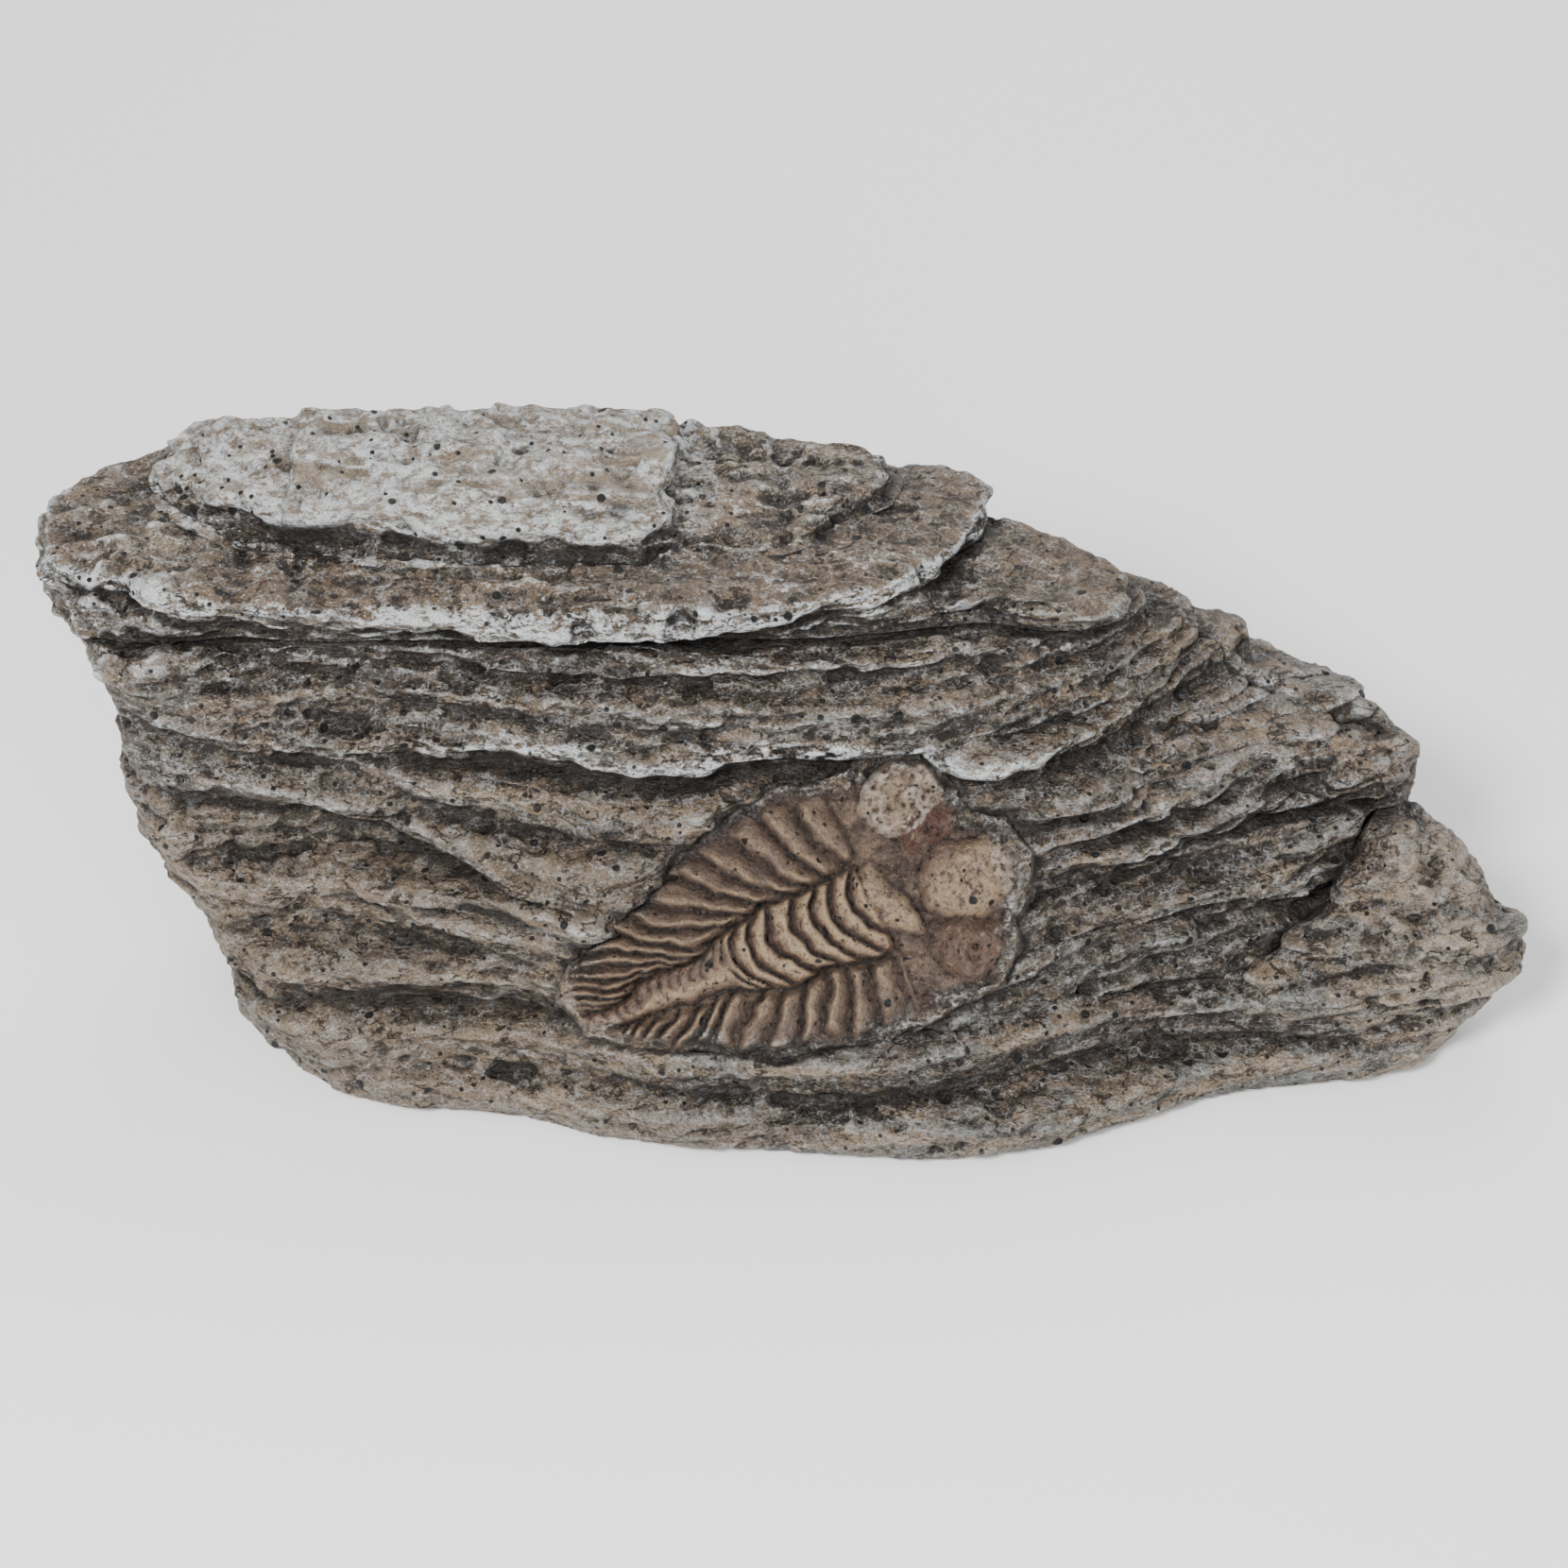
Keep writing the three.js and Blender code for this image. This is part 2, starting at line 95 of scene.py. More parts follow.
def lattice(cells, seed):
    """A repeatable number from -1 to 1 for each whole-numbered cell."""
    factor_x, factor_y, factor_z = CELL_FACTORS
    mixed = (cells[:, 0] * factor_x) ^ (cells[:, 1] * factor_y) ^ (cells[:, 2] * factor_z)
    mixed = (mixed ^ (seed * SEED_FACTOR)) & ALL_32_BITS
    for shift, factor in SCATTERING:
        mixed = ((mixed ^ (mixed >> shift)) * factor) & ALL_32_BITS
    return ((mixed ^ (mixed >> LAST_SHIFT)) & LOW_24_BITS) / (LOW_24_BITS // 2) - 1


def smooth_noise(points, seed):
    """Smooth noise with features about one unit across, from -1 to 1."""
    corner = np.floor(points).astype(np.int64)
    part = points - corner
    part = part * part * (3 - 2 * part)
    total = np.zeros(len(points))
    for step in itertools.product((0, 1), repeat=3):
        weight = np.prod(np.where(step, part, 1 - part), axis=1)
        total += weight * lattice(corner + np.array(step), seed)
    return total


def rough_noise(points, seed, octaves=3):
    """Smooth noise with finer and fainter noise on it."""
    total = np.zeros(len(points))
    for octave in range(octaves):
        total += smooth_noise(points * 2 ** octave, seed + octave) * OCTAVE_FADE ** octave
    return total


def ridged(points, seed, octaves=3):
    """Rough noise with sharp crests and round troughs, from about -1 to 1."""
    total = np.zeros(len(points))
    for octave in range(octaves):
        crest = 1 - 2 * np.abs(smooth_noise(points * 2 ** octave, seed + octave))
        total += crest * OCTAVE_FADE ** octave
    return total * 0.6


def cells_around(points, size):
    """Yields 27 sets of cells of that size: those that hold the points and those next to them."""
    cell = np.floor(points / size).astype(np.int64)
    for step in itertools.product((-1, 0, 1), repeat=3):
        yield cell + np.array(step)


def middles(cells, jitter, seed):
    """A repeatable place in each cell, up to jitter away from its centre. Cells are 1 wide."""
    drift = np.stack([lattice(cells, seed + axis) for axis in range(3)], axis=1)
    return cells + 0.5 + jitter * drift


def scattered_pits(points, spacing, radius, share, seed):
    """How deep each point lies in round pits of up to that radius, as a share of the radius.
    There is one pit in that share of the cells, which are spacing apart."""
    depth = np.zeros(len(points))
    for cells in cells_around(points, spacing):
        size = radius * (0.75 + 0.25 * lattice(cells, seed + 3))
        there = lattice(cells, seed + 4) * 0.5 + 0.5 < share
        away = np.linalg.norm(points - middles(cells, 0.35, seed) * spacing, axis=1) / size
        depth = np.maximum(depth, np.where(there, 1 - away, 0))
    return depth


def scallops(points, size, seed):
    """Shallow bowls side by side with sharp rims between them: 0 in a bowl, 1 on a rim."""
    nearest = np.full(len(points), np.inf)
    for cells in cells_around(points, size):
        away = np.linalg.norm(points / size - middles(cells, 0.45, seed), axis=1)
        nearest = np.minimum(nearest, away)
    return np.clip(nearest, 0, 1) ** 2


def fade(value, low, high):
    """0 at low and 1 at high, smooth between. low may be above high."""
    part = np.clip((value - low) / (high - low), 0, 1)
    return part * part * (3 - 2 * part)


# ---------------- meshes

def copy_of(node):
    """A new object with a copy of a CAD node's mesh, and nothing else of it."""
    piece = bpy.data.objects.new(node + "_surface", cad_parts[node].data.copy())
    bpy.context.scene.collection.objects.link(piece)
    piece.data.materials.clear()
    return piece


def remesh(piece, voxel):
    """Replaces the piece's mesh by an even one with quads about voxel across."""
    modifier = piece.modifiers.new("Remesh", "REMESH")
    modifier.mode = "VOXEL"
    modifier.voxel_size = voxel * MM
    evaluated = piece.evaluated_get(bpy.context.evaluated_depsgraph_get())
    mesh = bpy.data.meshes.new_from_object(evaluated)
    piece.modifiers.clear()
    piece.data = mesh


def points_of(mesh):
    flat = np.empty(len(mesh.vertices) * 3)
    mesh.vertices.foreach_get("co", flat)
    return flat.reshape(-1, 3) / MM


def set_points(mesh, points):
    mesh.vertices.foreach_set("co", (points * MM).ravel())
    mesh.update()


def normals_of(mesh):
    flat = np.empty(len(mesh.vertices) * 3)
    mesh.vertex_normals.foreach_get("vector", flat)
    return flat.reshape(-1, 3)


class Neighbours:
    """Averages values over the neighbours of each vertex of one mesh."""

    def __init__(self, mesh):
        flat = np.empty(len(mesh.edges) * 2, dtype=np.int32)
        mesh.edges.foreach_get("vertices", flat)
        self.ends = flat.reshape(-1, 2)
        self.size = len(mesh.vertices)
        self.count = np.maximum(np.bincount(flat, minlength=self.size), 1)

    def mean(self, values):
        a, b = self.ends.T
        total = np.bincount(a, weights=values[b], minlength=self.size)
        total += np.bincount(b, weights=values[a], minlength=self.size)
        return total / self.count

    def relaxed(self, points, rounds):
        for _ in range(rounds):
            mean = np.stack([self.mean(points[:, axis]) for axis in range(3)], axis=1)
            points = 0.5 * (points + mean)
        return points


def store(mesh, name, values):
    """Keeps one number for each vertex, for the material to read."""
    layer = mesh.attributes.new(name, "FLOAT", "POINT")
    layer.data.foreach_set("value", values.astype(np.float32))


def store_relief(mesh, around):
    """Keeps how far each point lies below its surroundings, close by and farther round it."""
    points = points_of(mesh)
    normals = normals_of(mesh)
    near = around.relaxed(points, 3)
    far = around.relaxed(near, 20)
    store(mesh, "near_hollow", np.sum((near - points) * normals, axis=1))
    store(mesh, "far_hollow", np.sum((far - points) * normals, axis=1))


def finished(piece, *nodes):
    """Shades the piece smooth and puts it in place of its CAD nodes."""
    piece.data.polygons.foreach_set("use_smooth", [True] * len(piece.data.polygons))
    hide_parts(*nodes)
    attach(piece, "root")


# ---------------- rock surface

# Ledges that stand out from the strata: the height of the lip's top and of the crevice under it
# where x is 0, how fast the ledge climbs along x, how far the lip overhangs, the stretch along x
# where it is at its strongest, and how much chalky paint it has.
Ledge = namedtuple("Ledge", "top under climb out along chalk")
LEDGES = [
    Ledge(83.0, 77.4, 0, 1.5, (-104, -20), 0.5),
    Ledge(77.5, 70.5, 0, 1.6, (-125, 45), 1.0),
    Ledge(69.0, 64.5, 0, -1.6, (-112, 60), 0),
    Ledge(56.5, 49.5, 0, 2.0, (-72, 60), 0.95),
    Ledge(33.5, 29.5, -0.25, 0.8, (-110, -50), 0.3),
    Ledge(26.0, 20.0, -0.26, 1.7, (-106, -22), 0.45),
    Ledge(42.5, 37.5, 0.08, 1.8, (40, 108), 0.6),
    Ledge(36.0, 31.5, 0.12, 1.4, (44, 106), 0.4),
    Ledge(29.0, 25.0, 0.14, 1.3, (40, 100), 0.4),
    Ledge(20.0, 15.0, 0.10, 1.0, (30, 96), 0.3),
]

# Single deep holes and gashes: the middle, and the radii along x, y and z.
HOLES = [
    ((23, 11, 77), (1.7, 1.7, 1.7)),
    ((31, 6, 70), (3.6, 3.0, 2.4)),
    ((35, 5, 72), (1.7, 1.7, 2.6)),
    ((-16.6, -3, 76), (2.4, 2.4, 2.0)),
    ((-33, -5, 75.5), (2.0, 2.0, 1.6)),
    ((-63, -11, 43), (1.5, 1.5, 1.5)),
    ((-50.8, -9, 53), (1.6, 1.6, 1.3)),
    ((-52, -27, 33), (11.0, 4.0, 2.0)),
    ((100, 0, 37), (4.0, 3.0, 1.2)),
    ((45, -11, 53), (1.6, 1.6, 1.4)),
]
DEEPEST_HOLE = 3.2

# Layers all over the rock: how thick they are, how wide the stretch is over which one layer stands
# out alike, how strong they are at the left and how much stronger at the right.
COARSE_LAYERS = {"thickness": 5.2, "reach": 16, "seed": 11, "strength": 0.95, "more_right": 0}
FINE_LAYERS = {"thickness": 1.9, "reach": 9, "seed": 31, "strength": 0.45, "more_right": 0.40}

# Pores: how far apart their cells are, the largest radius, and the share of cells that has one.
BUBBLES = {"spacing": 8, "radius": 0.95, "share": 0.35, "seed": 101}
BIG_BUBBLES = {"spacing": 26, "radius": 1.5, "share": 0.3, "seed": 111}
BUBBLE_DEPTH = 1.5

# The two blocks of the crown: the x of the foot and of the top of its left and its right flank,
# and how far it stands out.
CROWN_BLOCKS = [
    {"left": (-83.3, -82.3), "right": (-18.0, -19.2), "out": 1.8},
    {"left": (-17.0, -16.0), "right": (-1, -3), "out": 0.7},
]

# The right-hand ledge comes down to its front rim in ragged treads, and the crown evenly. A rim is
# given by its x and y, and the slope starts that reach behind it.
LEDGE_RIM = ((36, 62, 84, 106), (-16, -12, 0, 4))
LEDGE_SLOPE = 0.24
LEDGE_REACH = 24
TREAD = 4.5
CROWN_RIM = ((-105, -85, -60, -20, 15), (24, 15, 9, 10, 20))
CROWN_SLOPE = 0.30
CROWN_REACH = 20


def lamina(points, thickness, reach, seed):
    """Thin layers, each with its own reach and a crack under its lip: about -1.3 to 1. They sag
    in a wide bowl whose lowest place is a little left of the middle."""
    bowl = 0.17 * np.sqrt((points[:, 0] + 12) ** 2 + 20 ** 2)
    warp = 1.6 * smooth_noise(points / 30, seed) + 0.6 * smooth_noise(points / 9, seed + 1)
    level = (points[:, 2] - bowl + warp) / thickness
    layer = np.floor(level)
    part = level - layer
    apart = layer * 7.31
    place = np.stack([points[:, 0] / reach, points[:, 1] / reach, apart], axis=1)
    out = rough_noise(place, seed + 2, 3)
    slope = part ** 1.4
    lip = fade(part, 0, 0.12) * fade(part, 1.0, 0.93)
    return 0.8 * out + slope * lip - 0.5 - 0.6 * (1 - lip)


def from_above(points, size):
    """The points in units of that size with their heights left out, so that noise is upright."""
    return points * (1 / size, 1 / size, 0)


def inner_side(points, normals):
    """1 on the walls of the chamber, 0 on the outside of the rock."""
    height = points[:, 2]
    middle = np.interp(height, (0, 16, 44, 72), (0, 5, 15, 25))
    facing = normals[:, 1] * (points[:, 1] - middle) + normals[:, 0] * points[:, 0] / 6
    return fade(facing, 0.5, -3) * fade(height, 70, 66)


def ledge_push(points):
    """How far the named ledges stand out at each point, and how chalky their lips are."""
    total = np.zeros(len(points))
    chalk = np.zeros(len(points))
    wander = 2.0 * smooth_noise(from_above(points, 22), 301)
    wander += 1.3 * rough_noise(from_above(points, 7), 303, 2)
    x = points[:, 0]
    for ledge in LEDGES:
        start, end = ledge.along
        there = fade(x, start - 6, start + 10) * fade(x, end + 6, end - 10)
        height = points[:, 2] + wander - ledge.climb * x
        rise = (height - ledge.under) / (ledge.top - ledge.under)
        lip = fade(rise, 0.35, 0.75) * fade(rise, 1.25, 1.0)
        crevice = np.exp(-((rise - 0.05) / 0.22) ** 2)
        total += there * (ledge.out * lip - 1.1 * abs(ledge.out) * crevice)
        below_top = fade(points[:, 2] - ledge.climb * x, ledge.top + 1.2, ledge.top - 0.3)
        chalk = np.maximum(chalk, there * lip * below_top * ledge.chalk)
    return total, chalk


def sloped(points):
    """The tops of the crown and of the right-hand ledge come down to their front rims, the
    ledge in ragged steps."""
    x, y, z = points.T
    ragged = 2.0 * smooth_noise(from_above(points, 8), 311)
    step = (y + ragged - np.interp(x, *LEDGE_RIM)) / TREAD
    tread = np.floor(step)
    stairs = (tread + fade(step - tread, 0.55, 0.9)) * TREAD
    ledge = fade(x, 48, 66) * fade(z, 34, 48) * fade(z, 56, 52)
    drop = ledge * LEDGE_SLOPE * np.clip(LEDGE_REACH - stairs, 0, LEDGE_REACH)

    behind = y + ragged - np.interp(x, *CROWN_RIM)
    crown = fade(z, CROWN_FOOT + 0.5, CROWN_FOOT + 5) * fade(x, 10, -10)
    drop += crown * CROWN_SLOPE * np.clip(CROWN_REACH - behind, 0, CROWN_REACH)
    moved = points.copy()
    moved[:, 2] = z - drop
    return moved


def calmness(points):
    """How much of the layering shows: little on the nose, the crown and the tip, and half of it
    on the base. The nose is the smooth swelling in the middle of the front's left half."""
    x, z = points[:, 0], points[:, 2]
    nose = fade(np.hypot((x + 32) / 34, (z - 43) / 8), 1.1, 0.7)
    crown = fade(z, CROWN_FOOT - 1, CROWN_FOOT + 3)
    tip = fade(x, 96, 106) * fade(z, 15, 19)
    base = fade(z, 17, 14) * 0.5
    return 1 - np.maximum.reduce([0.8 * nose, 0.75 * crown, 0.7 * tip, base])


def layers(points, kind):
    """How far one kind of layer stands out at each point."""
    strength = kind["strength"] + kind["more_right"] * fade(points[:, 0], 10, 60)
    return strength * lamina(points, kind["thickness"], kind["reach"], kind["seed"])


def strata(points):
    """How far the layers and the named ledges stand out sideways."""
    patchy = 0.45 + 0.55 * fade(smooth_noise(points / 20, 5), -0.4, 0.4)
    layered = layers(points, COARSE_LAYERS) * patchy + layers(points, FINE_LAYERS)
    pushed, _ = ledge_push(points)
    return layered * calmness(points) + pushed


def worn(points):
    """How far ridges, lumps, chips and shallow bowls raise or lower the surface."""
    height = 0.70 * ridged(points / (9, 6, 4), 71, 3)
    height += 0.50 * ridged(points / (3.2, 3.2, 1.9), 75, 2)
    height += 1.1 * smooth_noise(points / 15, 79)
    height -= 1.0 * fade(rough_noise(points / (9, 9, 4), 81, 4), 0.40, 0.60)
    bowls = 0.8 * (scallops(points * (1, 1, 1.4), 4.4, 85) - 0.4)
    return height + bowls * fade(smooth_noise(points / 12, 89), 0.0, 0.5)


def broken_blocks(points):
    """How far the crown's blocks, the tip and the left end stand out where they are broken."""
    x, z = points[:, 0], points[:, 2]
    ragged = x + 0.8 * smooth_noise(points / 5, 90)
    crown = 1.5 * smooth_noise(points / (17, 9, 7), 91) - 1.0
    for block in CROWN_BLOCKS:
        crown += block["out"] * fade(ragged, *block["left"]) * fade(ragged, *block["right"])
    fibres = points @ np.array([[1 / 13, 0, 0.12], [0, 1 / 4.5, 0], [0, 0, 1 / 2.2]])
    crown += 1.3 * ridged(fibres, 93, 3)
    tip = 2.1 * ridged(points / (10, 10, 7), 95, 4)
    left_end = 1.6 * ridged(points / (10, 10, 7), 97, 3)
    return (crown * fade(z, CROWN_FOOT, CROWN_FOOT + 4)
            + tip * fade(x, 90, 104) * fade(z, 15, 19)
            + left_end * fade(x, -88, -102) * fade(z, 60, 66))


def bored(points):
    """How deep the pores and the single holes go at each point."""
    pits = scattered_pits(points, **BUBBLES) + scattered_pits(points, **BIG_BUBBLES)
    depth = BUBBLE_DEPTH * pits
    for middle, radii in HOLES:
        away = np.linalg.norm((points - middle) / radii, axis=1)
        depth += 1.2 * min(radii[1], DEEPEST_HOLE) * fade(away, 1.35, 0.6)
    return depth


def weather(points, normals):
    """Where every point of a rock casting goes when it is layered, chipped and pitted. The walls
    of the chamber get less of it, and the underside less wear."""
    steep = np.hypot(normals[:, 0], normals[:, 1])
    outward = normals * (1, 1, 0) / np.maximum(steep, 0.001)[:, None]
    calm = 1 - 0.65 * inner_side(points, normals)
    under = fade(normals[:, 2], -0.5, -0.9)

    side = strata(points) * fade(steep, 0.15, 0.5) * calm
    along = (worn(points) * (1 - 0.6 * under) + broken_blocks(points)) * calm - bored(points)
    return points + outward * side[:, None] + normals * along[:, None]


def melted(points, around):
    """The steps of the strata run together, most of all on the crown and the tip block."""
    soft = around.relaxed(points, 22)
    softest = around.relaxed(soft, 80)
    crown = fade(points[:, 2], CROWN_FOOT + 4, CROWN_FOOT + 6)
    tip = fade(points[:, 0], 84, 98) * fade(points[:, 2], 16, 20)
    share = np.maximum(crown, tip)[:, None]
    return soft * (1 - share) + softest * share


def evened(points, normals):
    """Fills out the long groove where the walls stand on the base."""
    outward = normals * (1, 1, 0)
    bulge = 1.9 * np.exp(-(((points[:, 2] - SEAM) / 2.0) ** 2))
    return points + outward * (bulge * (1 - inner_side(points, normals)))[:, None]


def tree_of(node):
    """A CAD node's surface as a tree that finds its nearest point, in millimetres."""
    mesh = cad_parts[node].data
    corners = [tuple(corner) for corner in points_of(mesh)]
    return BVHTree.FromPolygons(corners, [tuple(face.vertices) for face in mesh.polygons])


def glued(points, node):
    """Draws the edges of a seam together, but not those of the crevice under the cap. Also gives
    how free of a seam each point is: 0 on the faces that meet, 1 away from them."""
    moved = points.copy()
    free = np.ones(len(points))
    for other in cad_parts:
        if other == node or other.startswith(PAD_NAMES):
            continue
        tree = tree_of(other)
        low, high = (np.array(corner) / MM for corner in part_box(other))
        margin = SEAM_REACH + 0.5
        close_by = ((points > low - margin) & (points < high + margin)).all(axis=1)
        for i in np.flatnonzero(close_by):
            place, _, _, distance = tree.find_nearest(points[i], SEAM_REACH)
            if place is None:
                continue
            free[i] = min(free[i], distance / 2)
            if "cap_slab" not in (node, other):
                pull = SEAM_PULL * min(1, max(0, (SEAM_REACH - distance) / 1.5))
                moved[i] = points[i] + (np.array(place) - points[i]) * pull
    return moved, fade(free, 0.25, 0.9)


def rock_casting(node):
    """The finished surface of one rock casting, with what its paint goes by."""
    piece = copy_of(node)
    remesh(piece, VOXEL[node])
    mesh = piece.data
    around = Neighbours(mesh)
    start = points_of(mesh)
    points = sloped(melted(start, around))
    set_points(mesh, points)
    normals = normals_of(mesh)
    _, chalk = ledge_push(points)
    chalk *= fade(normals[:, 2], 0.96, 0.75)
    points, free = glued(evened(points, normals), node)
    points += (weather(points, normals) - points) * free[:, None]
    points = around.relaxed(points, 1)
    points[:, 2] = np.where(start[:, 2] < FOOT + 0.6, FOOT, np.maximum(points[:, 2], FOOT))
    set_points(mesh, points)
    store_relief(mesh, around)
    store(mesh, "lip", chalk)
    return piece


SHELTER_CELL = 1.2
SHELTER_MARGIN = 14
SHELTER_FULL = 3.0         # the count from which a cell is as good as full


def blurred(field, rounds):
    """A field of cells spread over its neighbours that many times."""
    for _ in range(rounds):
        for axis in range(3):
            field = (np.roll(field, 1, axis) + 2 * field + np.roll(field, -1, axis)) / 4
    return field


def store_shelter(pieces):
    """Keeps how much other surface stands in front of each point, close by and farther out: a
    stand-in for ambient occlusion, which the rock paint darkens as painted shade. The surfaces are
    counted in cubic cells, and the counts are spread over the cells around them."""
    clouds = [points_of(piece.data) for piece in pieces]
    everything = np.concatenate(clouds)
    low = everything.min(axis=0) - SHELTER_MARGIN
    shape = np.ceil((everything.max(axis=0) + SHELTER_MARGIN - low) / SHELTER_CELL).astype(int)
    crowd = np.zeros(shape)
    np.add.at(crowd, tuple(((everything - low) / SHELTER_CELL).astype(int).T), 1.0)
    close = blurred(np.minimum(crowd, SHELTER_FULL), 3)
    wide = blurred(close, 14)
    for piece, points in zip(pieces, clouds):
        normals = normals_of(piece.data)
        for name, field, ahead in (("shelter", close, 2.6), ("wide_shelter", wide, 6.5)):
            spot = tuple(((points + normals * ahead - low) / SHELTER_CELL).astype(int).T)
            store(piece.data, name, field[spot])


# ---------------- trilobite

# The relief's own frame has x to the right, y up the slope and z out of the front. These match
# the CAD plaque, whose outline runs from 39 mm left to 37 mm right of the frame's origin.
LEAN = math.atan2(26, 33)
OUTLINE = [
    (-35, -18), (-39, -13), (-37, -6), (-32, 0), (-27, 3), (-22, 9), (-16, 14), (-10, 18),
    (-4, 21), (4, 22), (9, 25), (13, 27), (21, 27), (25, 22), (27, 17), (33, 16), (37, 11),
    (37, 5), (34, 0), (35, -5), (33, -10), (24, -14), (15, -19), (0, -22), (-12, -22), (-26, -21)]
PLAQUE_DEPTH = 4
TAIL = (-33, -16.5)        # the tip of the tail, where the axis starts
AXIS_TURN = math.atan2(27.5, 66)
GRID = 0.33                # how far apart the points of the height field are
GRID_X = (-41, 39.5)
GRID_Y = (-24.5, 29.5)
SINK = 0.9                 # how far the whole relief is set back from the plaque's front
OVERLAP = 1.2              # how far the relief laps over the edge of its pocket
SKIRT = 6.0                # how far its border turns down into the rock
RING_PITCH = 3.65
TAIL_RING_PITCH = 1.9
TAIL_RIB_PITCH = 3.0
THORAX_START = 24          # measured along the axis from the tip of the tail
THORAX_END = 47.5

# The ribs of the side lobes above and below the axis: how far a rib lags behind at its root, how
# it sweeps back, how the ribs fan out, and how far they reach.
UPPER_RIBS = {"lag": 5.2, "sweep": 2.2, "fan": 0.044, "reach": 14.5}
LOWER_RIBS = {"lag": 1.2, "sweep": 1.75, "fan": 0.037, "reach": 11.5}

# Lumps of the head: the middle, the radii, the turn, the height, how rough the top is, and whether
# it has the shape of bubbles. The rim is the head's outer edge, and the nodule lies above the head.
# The middle of the neck ring is measured along the axis and across it.
Lump = namedtuple("Lump", "middle radii turn high rough bubbly")
NECK = Lump((50.2, -0.4), (3.6, 7.4), 0.0, 4.6, 0.4, False)
LUMPS = {
    "glabella": Lump((27.6, 6.6), (8.6, 7.4), AXIS_TURN, 5.2, 0.8, False),
    "brow": Lump((21.0, 15.6), (5.2, 4.2), 0.9, 3.4, 1.3, False),
    "cheek": Lump((28.6, -4.6), (7.6, 5.2), 0.1, 4.2, 1.2, True),
    "nodule": Lump((16.6, 20.2), (7.2, 6.2), 0.4, 5.0, 1.6, True),
    "rim": Lump((34.6, 9.0), (3.2, 9.0), 0.1, 3.0, 1.4, True),
}

# Waves that keep the relief's lines from being straight: the strength and the width of each.
BODY_WAVES = ((1.1, 6), (0.35, 1.8))
HEAD_WAVES = ((1.3, 4.5), (0.4, 1.6))


def fossil_place():
    """The relief's origin in millimetres, from the box of the CAD plaque."""
    low, high = (np.array(corner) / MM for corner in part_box("trilobite_inlay"))
    xs, ys = zip(*OUTLINE)
    below = -min(ys) * math.cos(LEAN) + PLAQUE_DEPTH * math.sin(LEAN)
    behind = max(ys) * math.sin(LEAN) + PLAQUE_DEPTH * math.cos(LEAN)
    return np.array([low[0] - min(xs), high[1] - behind, low[2] + below])


def inside_outline(x, y):
    """Distance in from the outline, in millimetres, and less than 0 outside it."""
    corners = np.array(OUTLINE, dtype=float)
    distance = np.full(len(x), np.inf)
    inside = np.zeros(len(x), dtype=bool)
    for (ax, ay), (bx, by) in zip(corners, np.roll(corners, -1, axis=0)):
        part = ((x - ax) * (bx - ax) + (y - ay) * (by - ay)) / ((bx - ax) ** 2 + (by - ay) ** 2)
        part = np.clip(part, 0, 1)
        away = np.hypot(x - ax - part * (bx - ax), y - ay - part * (by - ay))
        distance = np.minimum(distance, away)
        if ay != by:
            crosses = (y > ay) != (y > by)
            inside ^= crosses & (x < ax + (y - ay) / (by - ay) * (bx - ax))
    return np.where(inside, distance, -distance)


def ring_phase(along, tail_pitch):
    """Counts rings or ribs along the axis: close together in the tail, wider in the thorax."""
    tail = (along - THORAX_START) / tail_pitch
    thorax = (along - THORAX_START) / RING_PITCH
    return np.where(along < THORAX_START, tail, thorax)


def ridge_profile(phase, lean, power):
    """One ridge for each whole number of phase: 0 in the groove between two and 1 on the crest.
    A small power gives a broad ridge with a narrow groove."""
    part = phase - np.floor(phase)
    bent = np.where(part < 0.5 + lean, part / (1 + 2 * lean), 1 - (1 - part) / (1 - 2 * lean))
    return np.sin(np.pi * np.clip(bent, 0, 1)) ** power


def dome(x, y, lump):
    """A rounded lump: 1 in its middle, falling to 0 at its edge."""
    dx = x - lump.middle[0]
    dy = y - lump.middle[1]
    across = (dx * math.cos(lump.turn) + dy * math.sin(lump.turn)) / lump.radii[0]
    up = (dy * math.cos(lump.turn) - dx * math.sin(lump.turn)) / lump.radii[1]
    return np.sqrt(np.clip(1 - across ** 2 - up ** 2, 0, 1))


def wavered(flat, waves, seed):
    """The x and y of the points, moved about by two waves."""
    moved = [flat[:, 0].copy(), flat[:, 1].copy()]
    for axis, number in itertools.product(range(2), range(2)):
        strength, width = waves[number]
        moved[axis] += strength * smooth_noise(flat / width, seed + 2 * axis + number)
    return moved


def middle_lobe(s, t, half):
    """The lobe along the axis, with crescents whose ends point to the head, the lower end more.
    In the tail a smooth band runs along it."""
    bow = np.interp(s, (0, THORAX_START, THORAX_END), (0.3, 2.4, 4.0))
    bent = s - bow * (t / half) ** 2 + 0.22 * t
    rings = ridge_profile(ring_phase(bent, TAIL_RING_PITCH), 0.24, 0.85)
    there = fade(np.abs(t), half + 0.3, half - 0.5) * fade(s, THORAX_END + 2.2, THORAX_END + 1.2)
    arch = np.sqrt(np.clip(1 - (t / (half + 1)) ** 2, 0, 1))
    thorax = fade(s, THORAX_START - 2, THORAX_START + 1)
    height = 0.2 + 2.6 * arch + rings * (0.7 + 1.9 * thorax)
    band = np.exp(-(((t + 0.5 * half) / (0.36 * half)) ** 2)) * (1 - thorax)
    height += (1.3 - 0.7 * rings) * band * fade(s, 3, 9)
    return SimpleNamespace(height=height, there=there, rings=rings, thorax=thorax, band=band)


